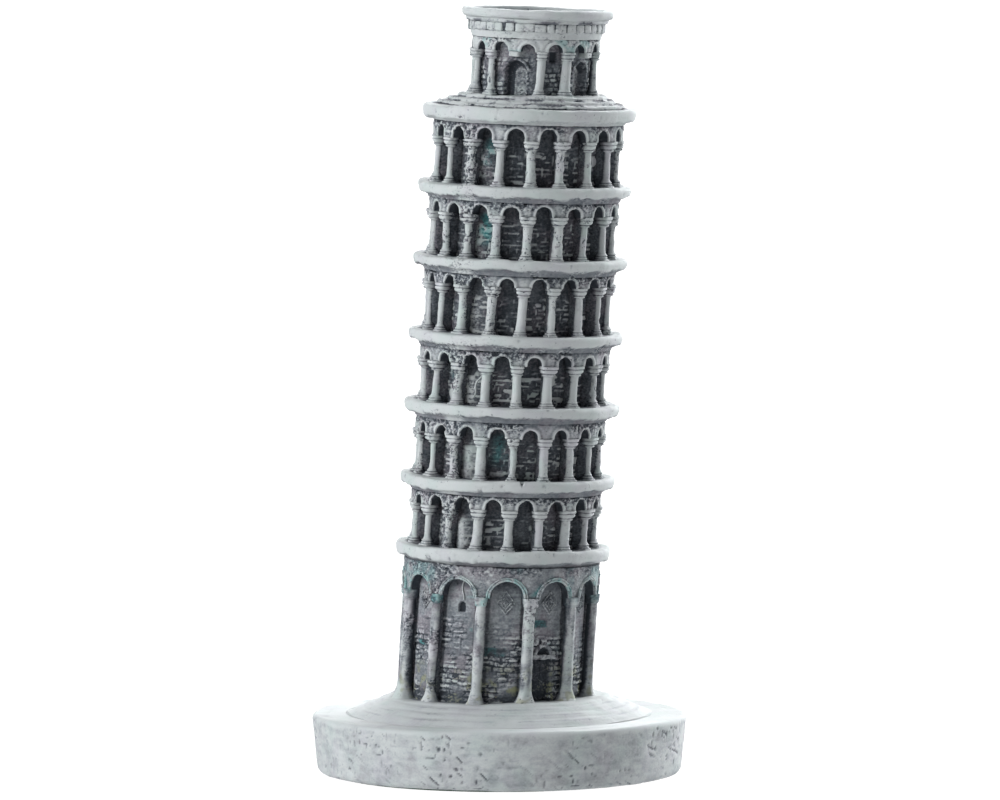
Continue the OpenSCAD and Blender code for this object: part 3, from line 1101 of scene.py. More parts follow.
def bar(
    path: Array, across: Array, out: Array, half_width: float, half_depth: float, closed: bool = False
) -> Skin:
    """A soft-edged bar laid along a path.

    Args:
        path: Points along its middle.
        across: Unit vector across it at each point.
        out: Unit vector out of the wall at each point.
        half_width: Half of its width.
        half_depth: Half of its depth.
        closed: Whether its last point joins its first.

    Returns:
        The bar's skin.
    """
    angle = np.arange(12) / 12 * TURN
    squared = (np.abs(np.cos(angle)) ** 3 + np.abs(np.sin(angle)) ** 3) ** (-1 / 3)
    wide = (half_width * squared * np.cos(angle))[None, :, None]
    deep = (half_depth * squared * np.sin(angle))[None, :, None]
    points = path[:, None, :] + across[:, None, :] * wide + out[:, None, :] * deep
    return Skin.of(points, ring=closed)


def arch_band(
    bearing: float, spring: float, radius: float, wall: float, half_width: float, depth: float
) -> Skin:
    """A raised half-round band on a round wall.

    Args:
        bearing: Bearing of the arch's middle.
        spring: Height of its centre.
        radius: Radius of the band's middle line.
        wall: Radius of the wall that it lies on.
        half_width: Half of the band's width.
        depth: How far it stands out.

    Returns:
        The band's skin in tower space.
    """
    sweep = np.linspace(math.pi, 0, max(12, int(radius * 14)))
    path, out, side = on_wall(bearing, wall, radius * np.cos(sweep), spring + radius * np.sin(sweep))
    across = side * np.cos(sweep)[:, None] + np.array([0, 0, 1.0]) * np.sin(sweep)[:, None]
    skin = bar(path, -across, out, half_width, depth)
    skin.paint = 0.74 + 0.25 * GRAIN.rough(skin.points, 1.8, 2)
    MOULD.weather(skin, 0.35 + 0.6 * float(MOULD.fault(bearing)))
    return skin


def diamond_band(
    bearing: float, middle: float, wide: float, tall: float, wall: float, half_width: float
) -> Skin:
    """A diamond-shaped frame on a round wall.

    Args:
        bearing: Bearing of its middle.
        middle: Height of its middle.
        wide: Half of its width.
        tall: Half of its height.
        wall: Radius of the wall that it lies on.
        half_width: Half of the bar's width.

    Returns:
        The frame's skin in tower space.
    """
    corners = np.array([(1, 0), (0, 1), (-1, 0), (0, -1), (1, 0)])
    turn = np.arange(40) / 10
    along = wide * np.interp(turn, np.arange(5), corners[:, 0])
    up = tall * np.interp(turn, np.arange(5), corners[:, 1])
    path, out, side = on_wall(bearing, wall, along, middle + up)
    reach = np.hypot(along, up)
    across = side * (along / reach)[:, None] + np.array([0, 0, 1.0]) * (up / reach)[:, None]
    skin = bar(path, across, out, half_width, 0.24, True)
    skin.paint = 0.50 + 0.3 * GRAIN.rough(skin.points, 1.2, 2)
    MOULD.weather(skin, 0.5)
    return skin


def block(bearing: float, ring: float, middle: float, deep: float, wide: float, tall: float) -> Skin:
    """A soft-edged block whose faces look along the radius.

    Args:
        bearing: Bearing of its middle.
        ring: Radius of its middle.
        middle: Height of its middle.
        deep: Half of its depth.
        wide: Half of its width.
        tall: Half of its height.

    Returns:
        The block's skin in tower space.
    """
    sides, power = 20, 6.0
    angle = (np.arange(sides) + 0.5) / sides * TURN
    loop = (np.abs(np.cos(angle)) ** power + np.abs(np.sin(angle)) ** power) ** (-1 / power)
    level = np.linspace(-1, 1, max(9, int(tall * 2 / 0.2)))
    fill = (1 - np.abs(level) ** 8 * 0.999) ** (1 / 6)
    out = deep * fill[:, None] * loop * np.cos(angle)
    side = wide * fill[:, None] * loop * np.sin(angle)
    beta = math.radians(bearing)
    x = (ring + out) * math.cos(beta) - side * math.sin(beta)
    y = (ring + out) * math.sin(beta) + side * math.cos(beta)
    skin = Skin.of(np.stack([x, y, middle + tall * level[:, None] + 0 * x], axis=-1))
    skin.paint = 0.84 + 0.2 * GRAIN.rough(skin.points, 1.6, 2)
    MOULD.weather(skin, 0.3)
    return skin


# ---------------------------------------------------------------------------------------------
# The plinth
# ---------------------------------------------------------------------------------------------


@dataclass(frozen=True)
class Plinth:
    """The felt pad, the plinth and the shallow steps on it."""

    paint: Paint
    felt_paint: Paint
    top_round: float = 0.9
    base_round: float = 1.6
    taper: float = 1.0
    felt_gap: float = 0.5
    fuzz: float = 0.004
    swell: float = 0.35
    steps: int = 4
    inner_step: float = 23.2
    step: float = 0.325

    def build(self) -> None:
        """Builds all three pieces."""
        self.felt()
        self.block()
        self.foot_steps()

    def felt(self) -> None:
        """The felt pad, with a fuzzy edge."""
        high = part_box("felt_pad")[1] / MM
        radius, top = high.x, high.z
        edge = [(radius - 0.15, 0, 2.5), (radius, 0.15, 0.1), (radius, top, 0.2)]
        r, z = outline((0.5, 0, 1), *edge, (0.5, top, 3))
        skin = Skin.of(turned(r, z, even_bearings(radius, 0.6)), 0.5)
        at_edge = ease(radius - 2, radius - 0.4, np.hypot(skin.points[..., 0], skin.points[..., 1]))
        fuzz = self.fuzz * (at_edge * GRAIN.smooth(skin.points, 0.7) - 1)
        skin.points[..., :2] *= (1 + fuzz)[..., None]
        Casting("felt_disc", [skin]).cast(upright, self.felt_paint, "felt_pad")

    def block(self) -> None:
        """The plinth: a thick disc with a scratched side and a recess for the felt below."""
        low, high = (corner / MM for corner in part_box("plinth"))
        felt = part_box("felt_pad")[1] / MM
        radius, top, under, step = high.x + self.swell, high.z, low.z, self.step
        recess = felt.x + self.felt_gap
        quarter = np.radians(np.linspace(0, 90, 6))
        low_turn, high_turn = [], []
        for a in quarter:
            across, up = 1 - math.sin(a), 1 - math.cos(a)
            foot = radius - self.taper - self.base_round * across
            low_turn.append((foot, under + self.base_round * up, step))
            high_turn.append((radius - self.top_round * up, top - self.top_round * across, step))
        start = [(0.5, felt.z, 1), (recess, felt.z, 3), (recess, under, 0.3)]
        r, z = outline(*start, *low_turn, *high_turn, (20.0, top, step), (0.5, top, 3))
        skin = Skin.of(turned(r, z, even_bearings(radius, step)), 0.8)
        self.weather(skin, top, recess)
        Casting("plinth_casting", [skin]).cast(upright, self.paint, "plinth")

    def weather(self, skin: Skin, top: float, recess: float) -> None:
        """Scratches, dents and slow waves in the plinth's faces.

        Args:
            skin: The plinth's skin, changed in place.
            top: Height of its upper face.
            recess: Radius of the recess for the felt.
        """
        points = skin.points
        far = np.hypot(points[..., 0], points[..., 1])
        side = ease(top + 0.1, top - 1.4, points[..., 2])
        shown = ease(recess - 0.2, recess + 0.6, far)
        waves = 0.13 * GRAIN.smooth(points, 11) + 0.07 * GRAIN.smooth(points + 9, 4)
        dense = ease(-0.4, 0.5, GRAIN.smooth(points + 70, 7))
        upright_cuts = GRAIN.spots(points + 2, (0.45, 0.45, 1.3), 0.12)
        level_cuts = GRAIN.spots(points + 40, (1.2, 1.2, 0.4), 0.10)
        slanted = np.stack([points[..., 0], points[..., 1], points[..., 2] + 0.9 * points[..., 0]], axis=-1)
        slant_cuts = GRAIN.spots(slanted + 11, (2.4, 2.4, 0.5), 0.13)
        cuts = np.clip(upright_cuts + level_cuts + slant_cuts, 0, 1) * (0.25 + 0.75 * dense)
        pits = GRAIN.spots(points + 5, 0.7, 0.04) * dense
        fine = 0.02 * GRAIN.smooth(points, 0.6) * side + 0.05 * GRAIN.smooth(points + 77, 1.3) * (1 - side)
        relief = waves + fine - (0.26 * cuts + 0.20 * pits) * side - 0.05 * cuts
        skin.push(relief * shown, 1.1)
        brushed = 0.08 * GRAIN.rough(points + 8, 4.0, 3) + 0.05 * GRAIN.smooth(points + 8, (2.5, 2.5, 0.6))
        brushed = brushed + 0.06 * GRAIN.rough(points + 77, 1.6, 2)
        # A patchy lighter band along the rounded top edge: painted highlight on the rim.
        rim = hump(top - 0.5, 0.7, points[..., 2]) * ease(-0.3, 0.5, GRAIN.smooth(points + 15, 6))
        marks = side * dense * (0.06 * pits + 0.08 * cuts)
        skin.paint = skin.paint + 0.05 - 0.14 * side + 1.3 * brushed + 0.12 * rim - marks

    def foot_steps(self) -> None:
        """Worn steps between the plinth's face and the tower."""
        low, high = (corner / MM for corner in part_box("foot_steps"))
        top, under, outer = high.z, low.z, high.x
        rise = (top - under) / self.steps
        tread = (outer - self.inner_step) / (self.steps - 1)
        corners = [(0.5, under - 0.05, 1), (outer + 1.2, under - 0.05, 4), (outer + 0.5, under + 0.05, 0.2)]
        for n in range(self.steps):
            edge, foot = outer - n * tread, under + n * rise
            corners.append((edge - 0.25, foot + 0.45 * rise, 0.2))
            corners.append((edge - 0.75, foot + 0.80 * rise, 0.2))
            if n < self.steps - 1:
                corners.append((edge - tread + 0.7, foot + rise + 0.16, 0.25))
        r, z = outline(*corners, (self.inner_step - 1.6, top, 0.3), (17.0, top, 0.35), (0.5, top, 3))
        skin = Skin.of(turned(r, z, even_bearings(outer, 0.28)), 0.82)
        shown = ease(15, 17.5, r)[:, None]
        waves = 0.16 * GRAIN.smooth(skin.points, (6, 6, 40)) + 0.08 * GRAIN.rough(skin.points, 2.4, 2)
        worn = ease(-0.5, 0.6, GRAIN.smooth(skin.points + 30, 5))
        pits = GRAIN.spots(skin.points + 50, 0.7, 0.07) * worn
        low_edge = ease(outer + 1.4, outer - 0.5, r)[:, None]
        skin.push((waves * low_edge - 0.06 - 0.08 * pits) * shown, 1.0)
        height = skin.points[..., 2]
        creases = sum(hump(under + (n + 0.12) * rise, 0.13, height) for n in range(1, self.steps))
        brushed = 0.09 * GRAIN.rough(skin.points, 2.5, 3)
        skin.paint = skin.paint - 0.16 * creases * worn + brushed - 0.12 * pits
        # Where the steps meet the tower they are painted darker: painted shade at the tower's foot.
        shade_at_tower_foot = ease(19.8, 18.6, np.hypot(skin.points[..., 0] + 1.1, skin.points[..., 1]))
        skin.paint = skin.paint - 0.35 * shade_at_tower_foot
        Casting("foot_step_rings", [skin]).cast(upright, self.paint, "foot_steps")


# ---------------------------------------------------------------------------------------------
# The tower
# ---------------------------------------------------------------------------------------------


@dataclass(frozen=True)
class Storey:
    """What every part of the tower has: the axis that it stands on."""

    lean: Lean

    def cast(self, name: str, paint: Paint, node: str, *skins: Skin) -> None:
        """Casts one piece from its skins, in the place of its CAD node."""
        Casting(name, list(skins)).cast(self.lean.place, paint, node)


@dataclass(frozen=True)
class Cornice(Storey):
    """A floor slab with a rounded, chipped nose over a moulding darkened by wash and painted shade."""

    number: int
    paint: Paint
    proud: float = 0.17
    under_wash_and_shade: float = 0.42
    under_crumb: float = 0.05
    nose: float = 0.36
    notch: Union[float, None] = None
    step: float = 0.22

    def build(self) -> None:
        """Builds the slab."""
        name = f"cornice_{self.number}"
        drum = self.lean.drum(name)
        low, high, nose, s = drum.low, drum.high, drum.radius + self.proud, self.step
        tall = high - low
        edge = low + self.nose * tall
        corners = [
            (0.5, low, 1),
            (nose - 4.5, low, 3),
            (nose - 2.35, low, s),
            (nose - 2.15, low + 0.45 * (edge - low), s),
            (nose - 1.35, low + 0.85 * (edge - low), s),
            (nose - 0.62, edge - 0.05, s),
            (nose - 0.26, edge + 0.26, s),
            (nose - 0.04, edge + 0.5 * (high - edge), s),
            (nose, edge + 0.7 * (high - edge), s),
            (nose - 0.1, high - 0.3, s),
            (nose - 0.28, high - 0.1, s),
            (nose - 0.65, high, s),
            (nose - 6.4, high, s * 1.3),
            (0.5, high, 3),
        ]
        r, z = outline(*corners)
        skin = Skin.of(turned(r, z, even_bearings(nose, s)), 0.9)
        self.weather(skin, drum, edge)
        self.cast(f"{name}_slab", self.paint, name, skin)

    def weather(self, skin: Skin, drum: Drum, edge: float) -> None:
        """Waves, chips and paint.

        Args:
            skin: The slab's skin, changed in place.
            drum: Its CAD size.
            edge: Height of the nose's lower edge.
        """
        points = skin.points
        far = np.hypot(points[..., 0], points[..., 1])
        bearing = bearing_of(points)
        fault = MOULD.fault(bearing)
        at_nose = ease(drum.radius - 2.2, drum.radius - 0.6, far)
        shown = ease(drum.radius - 6.4, drum.radius - 5.2, far)
        rim = points * np.array([1, 1, 0]) + np.array([0, 0, drum.low])
        sag = 0.24 * GRAIN.smooth(rim, 7) + 0.14 * GRAIN.smooth(rim + 4, 2.6)
        droop = 0.26 * GRAIN.smooth(rim + 25, 4) + 0.14 * GRAIN.smooth(rim, 1.5)
        lower_lip = hump(edge, 0.5, points[..., 2]) * droop
        swell = 0.17 * GRAIN.smooth(rim + 60, 8) + 0.07 * GRAIN.smooth(rim + 80, 3)
        chips = GRAIN.spots(points + 14, 1.4, 0.09 + 0.10 * fault) * at_nose
        nick = 0.0
        if self.notch is not None:
            along = np.abs(turn_apart(bearing, self.notch)) * math.radians(drum.radius)
            nick = ease(0.55, 0.0, along + 0.5 * np.maximum(0, drum.high - points[..., 2] - 0.1)) * at_nose
        skin.push((swell * at_nose - 0.28 * chips * (0.4 + fault) - 0.7 * nick) * shown, 0.8)
        skin.points[..., 2] += (sag * at_nose + lower_lip) * shown
        # Below the nose's wavy lower edge the moulding takes a darker paint: wash and painted shade under
        # the overhang.
        line = edge + 0.22 * GRAIN.smooth(rim + 45, 3.0) + 0.12 * GRAIN.smooth(rim + 90, 1.1)
        under = ease(line + 0.42, line - 0.30, points[..., 2])
        on_top = ease(drum.high - 0.3, drum.high - 0.1, points[..., 2])
        # The top of the slab behind the nose, round the columns' feet, is painted dark: painted shade on
        # the gallery floor.
        shaded_shelf = ease(drum.radius - 1.1, drum.radius - 2.6, far) * on_top
        smear = 0.13 * GRAIN.rough(points + 33, 3.2, 3)
        below = self.under_wash_and_shade + 0.07 * GRAIN.rough(points + 21, 2.8, 2) + 0.3 * ease(0.3, 0.9, fault)
        paint = skin.paint + smear - 0.22 * chips - 0.45 * nick - 0.62 * shaded_shelf
        skin.paint = paint * (1 - under) + below * under
        patchy = ease(-0.2, 0.5, GRAIN.smooth(points, 2.2))
        crumb = (0.06 + 0.14 * patchy + 0.8 * fault * patchy) * at_nose + self.under_crumb * under * patchy
        MOULD.weather(skin, crumb * shown, 0.75)


@dataclass(frozen=True)
class Gallery(Storey):
    """A storey with a ring of columns round a dark wall, under a ring of arches."""

    storey: int
    arch: float
    stilt: float
    wall_paint: Paint
    column_paint: Paint
    arch_paint: Paint
    mound: float = 0.0
    flash: bool = False
    mound_bearing: float = 240.0
    tint: float = 0.0
    tint_bearing: float = 242.5
    bays: int = 18
    column_bearing: float = 272.5
    column_ring: float = 18.1

    def build(self) -> None:
        """Builds the wall, the columns and the arcade."""
        self.wall(f"gallery_{self.storey}_wall")
        self.columns(f"gallery_{self.storey}_columns")
        self.arcade(f"gallery_{self.storey}_arcade")

    def wall(self, node: str) -> None:
        """The drum behind the columns."""
        drum = self.lean.drum(node)
        wall = RoundWall(drum)
        skin = wall.skin()
        points = skin.points
        share = (points[..., 2] - drum.low) / (drum.high - drum.low)
        bearing = bearing_of(points)
        bay = np.floor(turn_apart(bearing, self.column_bearing) / (360 / self.bays))
        grain = Grain(100 + self.storey)
        bay_luck = Grain(200 + self.storey).cell(bay, bay * 0)
        marked = ease(0.72, 0.48, share) * (0.45 + 0.55 * bay_luck)
        joints = Masonry(grain=grain).joints(points, drum.radius)
        dashes = grain.spots(points, (1.8, 1.8, 0.5), 0.33) * ease(-0.6, 0.1, grain.smooth(points + 3, 3.0))
        uprights = grain.spots(points + 30, (0.5, 0.5, 1.2), 0.14)
        marks = np.clip(dashes + 0.6 * joints + 0.7 * uprights, 0, 1) * marked
        fault = MOULD.fault(bearing)
        mound = hump(self.mound_bearing, 5.5, bearing % 360) * ease(0.72, 0.45, share)
        loose = ease(-0.4, 0.3, grain.smooth(points + 9, 2.2))
        rubble = np.clip(fault * ease(0.8, 0.3, share) * loose, 0, 1)
        lit = 0.12 * ease(262, 225, bearing % 360) * bay_luck
        smear = 0.14 * grain.rough(points + 3, 1.8, 3)
        base = 0.21 if self.storey < 4 else 0.15
        paint = base + lit + 0.10 * bay_luck + 1.08 * marks + smear + 0.22 * rubble
        paint = paint + 0.40 * mound * min(1.0, self.mound)
        mid_height = ease(0.15, 0.4, share) * ease(0.85, 0.7, share)
        skin.teal = self.tint * hump(self.tint_bearing, 5.5, bearing % 360) * mid_height
        relief = 0.32 * marks + 0.3 * rubble + self.mound * mound
        wall.dress(skin, relief, paint, 0.2 + 0.6 * rubble)
        self.cast(f"{node}_masonry", self.wall_paint, node, skin)

    def columns(self, node: str) -> None:
        """The ring of columns."""
        drum = self.lean.drum(node)
        wall = self.lean.drum(f"gallery_{self.storey}_wall").radius
        dice = np.random.default_rng(self.storey)
        skins = []
        for n in range(self.bays):
            bearing = self.column_bearing + n * 360 / self.bays
            stout = 0.92 + dice.uniform(-0.10, 0.16)
            form = ColumnForm(drum.low - 0.15, drum.high + 0.12, self.column_ring, stout)
            skins.append(form.skin(bearing, dice))
            skins.append(form.web(bearing, wall))
        if self.flash:
            turn = np.linspace(0, 1, 30)
            drift = 1.6 - 2.4 * turn + 0.35 * np.sin(turn * 9)
            path, out, side = on_wall(245.0, self.column_ring - 0.6, drift, drum.high - 0.5 - 6.5 * turn)
            strand = bar(path, -side, out, 0.16, 0.2)
            strand.paint[:] = 0.85
            MOULD.weather(strand, 0.3)
            skins.append(strand)
        self.cast(f"{node}_ring", self.column_paint, node, *skins)

    def arcade(self, node: str) -> None:
        """The ring of arches."""
        ring = ArchRing(
            drum=self.lean.drum(node),
            bays=self.bays,
            column_bearing=self.column_bearing,
            arch=self.arch,
            stilt=self.stilt,
            seed=self.storey,
        )
        self.cast(f"{node}_ring", self.arch_paint, node, ring.skin())


@dataclass(frozen=True)
class GroundStorey(Storey):
    """The tall lowest storey, with blind arches on engaged columns."""

    wall_paint: Paint
    column_paint: Paint
    arch_paint: Paint
    bays: int = 12
    column_bearing: float = 259.0
    column_ring: float = 19.0
    arch: float = 3.45
    door_bearing: float = 301.5
    door_width: float = 5.2
    door_height: float = 8.8
    lintel: float = 1.0
    lunette: float = 1.4
    window_bay: int = 11
    window_width: float = 1.5
    window_low: float = 18.0
    window_spring: float = 19.2
    hole_height: float = 20.3
    hole_sizes: tuple[tuple[int, float], ...] = ((10, 0.75), (1, 0.5))
    patches: tuple[tuple[float, ...], ...] = (
        (268.5, 10.2, 2.0, 0.8),
        (298.5, 16.0, 1.4, 0.7),
        (213.0, 11.0, 1.4, 0.5),
    )

    def build(self) -> None:
        """Builds every piece of the storey."""
        self.wall()
        self.columns()
        self.arcade()
        self.archivolts()
        self.lozenges()
        self.door_leaf()
        self.door_surround()

    def bay_bearing(self, bay: float) -> float:
        """Bearing of the middle of a bay."""
        return self.column_bearing + (bay + 0.5) * 360 / self.bays

    def window(self) -> Recess:
        """The small arched window that takes the place of one bay's lozenge."""
        bearing, width = self.bay_bearing(self.window_bay) + 1.0, self.window_width
        return Recess(bearing, width, self.window_low, self.window_spring, width / 2, 0.9, 1.0)

    def along(self, points: Array, bearing: float, radius: float) -> Array:
        """How far points of a round wall are from a bearing, in mm, anticlockwise."""
        return np.radians(turn_apart(bearing_of(points), bearing)) * radius

    def wall(self) -> None:
        """The wall, with the doorway, the lunette and a small window sunk in it."""
        drum = self.lean.drum("ground_wall")
        over_door = self.door_height + self.lintel
        recesses = (
            Recess(self.door_bearing - 1.2, self.door_width - 0.7, -5, self.door_height, 0, 1.3),
            Recess(self.door_bearing, 2 * self.lunette, over_door, over_door, self.lunette, 0.9),
            self.window(),
        )
        wall = RoundWall(drum, lambda bearings: self.lean.level(bearings, drum.radius) - 0.3)
        skin = wall.skin()
        points = skin.points
        height = points[..., 2]
        turns = turn_apart(bearing_of(points) * self.bays, self.column_bearing * self.bays)
        from_column = np.abs(turns) / self.bays
        low_down = ease(17.5, 11.0, height + 2.5 * GRAIN.smooth(points + 12, 5))
        stones = Stones().proud(points, drum.radius)
        patchy = ease(-0.6, 0.2, GRAIN.smooth(points + 44, 3.2))
        dashes = GRAIN.spots(points + 60, (1.9, 1.9, 0.45), 0.30)
        cuts = GRAIN.spots(points + 80, (1.3, 1.3, 0.45), 0.22)
        rough = low_down * patchy
        # Beside each column the wall is sunk a little and painted darker: a shallow groove with painted
        # shade in it.
        shaded_groove = ease(5.6, 3.6, from_column)
        relief = (0.26 * (stones - 0.6) + 0.22 * dashes - 0.24 * cuts) * (0.1 + 0.9 * rough) - 0.2 * shaded_groove
        plain = 0.46 + 0.12 * GRAIN.rough(points + 3, 3.0, 3)
        paint = plain + ((stones - 0.6) * 0.44 + 0.52 * dashes - 0.44 * cuts) * (0.08 + 0.92 * rough)
        paint = paint - 0.04 * low_down - 0.12 * shaded_groove
        # Small holes are sunk in the wall and painted dark inside: painted shade in the holes.
        for bay, size in self.hole_sizes:
            along = self.along(points, self.bay_bearing(bay), drum.radius)
            from_middle = np.abs(height - self.hole_height) / 1.3
            hole = ease(1.15, 0.85, (np.abs(along) + from_middle) / size)
            relief = relief - 0.5 * hole
            paint = paint * (1 - 0.85 * hole)
        # Painted shadow at the head of each blind arch, darker towards the top; the wall is also darker
        # towards the bottom.
        paint = paint - 0.25 * ease(2.6, 0.6, height) - 0.25 * ease(22.2, 24.0, height)
        crumb = 0.04 + 0.5 * rough
        skin.teal = 0.5 * GRAIN.spots(points + 21, (3.0, 3.0, 1.3), 0.06)
        for bearing, level, wide, tall in self.patches:
            along = self.along(points, bearing, drum.radius)
            patch = ease(1.25, 0.75, np.maximum(np.abs(along) / wide, np.abs(height - level) / tall))
            skin.teal = skin.teal + patch
            paint = paint * (1 - 0.7 * patch)
        wall.dress(skin, relief, paint, crumb, recesses)
        self.cast("ground_masonry", self.wall_paint, "ground_wall", skin)

    def columns(self) -> None:
        """The engaged columns, with spreading feet."""
        drum = self.lean.drum("ground_columns")
        dice = np.random.default_rng(5)
        skins = []
        for n in range(self.bays):
            bearing = self.column_bearing + n * 360 / self.bays
            foot = float(self.lean.level(bearing, self.column_ring))
            form = ColumnForm(
                low=foot - 0.35,
                high=drum.high + 0.1,
                ring=self.column_ring + 0.08,
                shaft=1.16,
                base=1.5,
                base_h=2.4,
                capital=1.36,
                capital_h=1.7,
                plain=True,
                slimmed=0.0,
            )
            skin = form.skin(bearing, dice)
            height = skin.points[..., 2]
            streaks = GRAIN.smooth(skin.points + 12, (0.6, 0.6, 5.0))
            mottled = 0.16 * GRAIN.rough(skin.points + 29, 2.0, 3)
            skin.paint = skin.paint - 0.26 * ease(1.5, 4.0, height - foot) + 0.26 * streaks + mottled
            tinted = 0.7 if n in (0, 11) else dice.choice([0.4, 0.15, 0.0])
            skin.teal = tinted * ease(drum.high - 2.0, drum.high - 1.4, height)
            skins.append(skin)
            skins.append(form.web(bearing, self.lean.drum("ground_wall").radius))
        self.cast("ground_column_ring", self.column_paint, "ground_columns", *skins)

    def arcade(self) -> None:
        """The ring of blind arches."""
        drum = self.lean.drum("ground_arcade")
        ring = ArchRing(
            drum=replace(drum, inner=drum.inner - 0.3),
            bays=self.bays,
            column_bearing=self.column_bearing,
            arch=self.arch,
            stilt=0.05,
            lip=0.0,
            top_wash_and_shade=0.1,
            crumb=0.45,
            paint=0.52,
            seed=40,
        )
        skin = ring.skin()
        along = self.along(skin.points, 292.5, drum.radius)
        stroke = along - 1.2 * (skin.points[..., 2] - drum.low - 1.6)
        swoosh = hump(0, 0.9, stroke) * hump(0.3, 2.0, along)
        skin.teal = 0.35 * ease(0.1, 0.6, GRAIN.smooth(skin.points + 66, 4.5)) + 0.9 * swoosh
        self.cast("ground_arch_ring", self.arch_paint, "ground_arcade", skin)

    def archivolts(self) -> None:
        """The raised band over each blind arch."""
        drum = self.lean.drum("ground_archivolts")
        wall = self.lean.drum("ground_arcade").radius
        skins = []
        for bay in range(self.bays):
            for offset, width in ((0.22, 0.2), (0.68, 0.16)):
                skin = arch_band(self.bay_bearing(bay), drum.low, self.arch + offset, wall, width, 0.2)
                skin.teal = 0.2 + 0.55 * ease(-0.3, 0.4, GRAIN.smooth(skin.points + 66, 4.5))
                skin.paint = skin.paint - 0.12
                skins.append(skin)
        up = np.linspace(24.6, 20.4, 24)
        drift = 0.5 + 0.25 * np.sin(up * 1.3)
        path, out, side = on_wall(self.bay_bearing(self.window_bay), wall - 1.9, drift, up)
        flash = bar(path, -side, out, 0.14, 0.2)
        flash.paint[:] = 0.75
        skins.append(flash)
        self.cast("ground_archivolt_bands", self.arch_paint, "ground_archivolts", *skins)

    def lozenges(self) -> None:
        """Nested diamond frames under each arch but the one with a window there."""
        drum = self.lean.drum("ground_lozenges")
        wall = self.lean.drum("ground_wall").radius
        tall = (drum.high - drum.low) / 2
        skins = []
        for bay in range(self.bays):
            if bay == self.window_bay:
                continue
            bearing = self.bay_bearing(bay)
            for share, width in ((0.88, 0.17), (0.52, 0.15), (0.2, 0.16)):
                skins.append(diamond_band(bearing, drum.middle, 2.0 * share, tall * share, wall, width))
        self.cast("ground_lozenge_frames", self.arch_paint, "ground_lozenges", *skins)

    def door_leaf(self) -> None:
        """The boarded door at the back of its recess."""
        drum = self.lean.drum("door_leaf")
        wall = self.lean.drum("ground_wall").radius
        boards = 4
        width = self.door_width / boards
        skins = []
        for n in range(boards):
            bearing = self.door_bearing + math.degrees((n + 0.5 - boards / 2) * width / wall)
            foot = float(self.lean.level(bearing, wall))
            middle, tall = (foot + drum.high) / 2, (drum.high - foot) / 2
            skin = block(bearing, wall - 1.35, middle, 0.3, width * 0.49, tall)
            slanted = skin.points + skin.points[..., 2:] * np.array([0.9, 0.9, 0.0])
            skin.paint = 0.07 + 0.12 * GRAIN.rough(skin.points, 1.2, 2)
            skin.paint = skin.paint + 0.4 * GRAIN.spots(slanted, (0.3, 0.3, 3.0), 0.12)
            skins.append(skin)
        self.cast("door_boards", self.wall_paint, "door_leaf", *skins)

    def door_surround(self) -> None:
        """The lintel and the hood over the lunette."""
        drum = self.lean.drum("door_surround")
        wall = self.lean.drum("ground_wall").radius
        skins = []
        for n in range(3):
            bearing = self.door_bearing + (n - 1) * 6.2
            half = self.lintel / 2
            skins.append(block(bearing, wall - 0.05, drum.low + half, 0.45, 1.02, half))
        skins.append(arch_band(self.door_bearing, drum.low + self.lintel, 1.8, wall, 0.38, 0.42))
        for skin in skins:
            skin.paint = skin.paint - 0.28
        self.cast("door_lintel_and_hood", self.arch_paint, "door_surround", *skins)


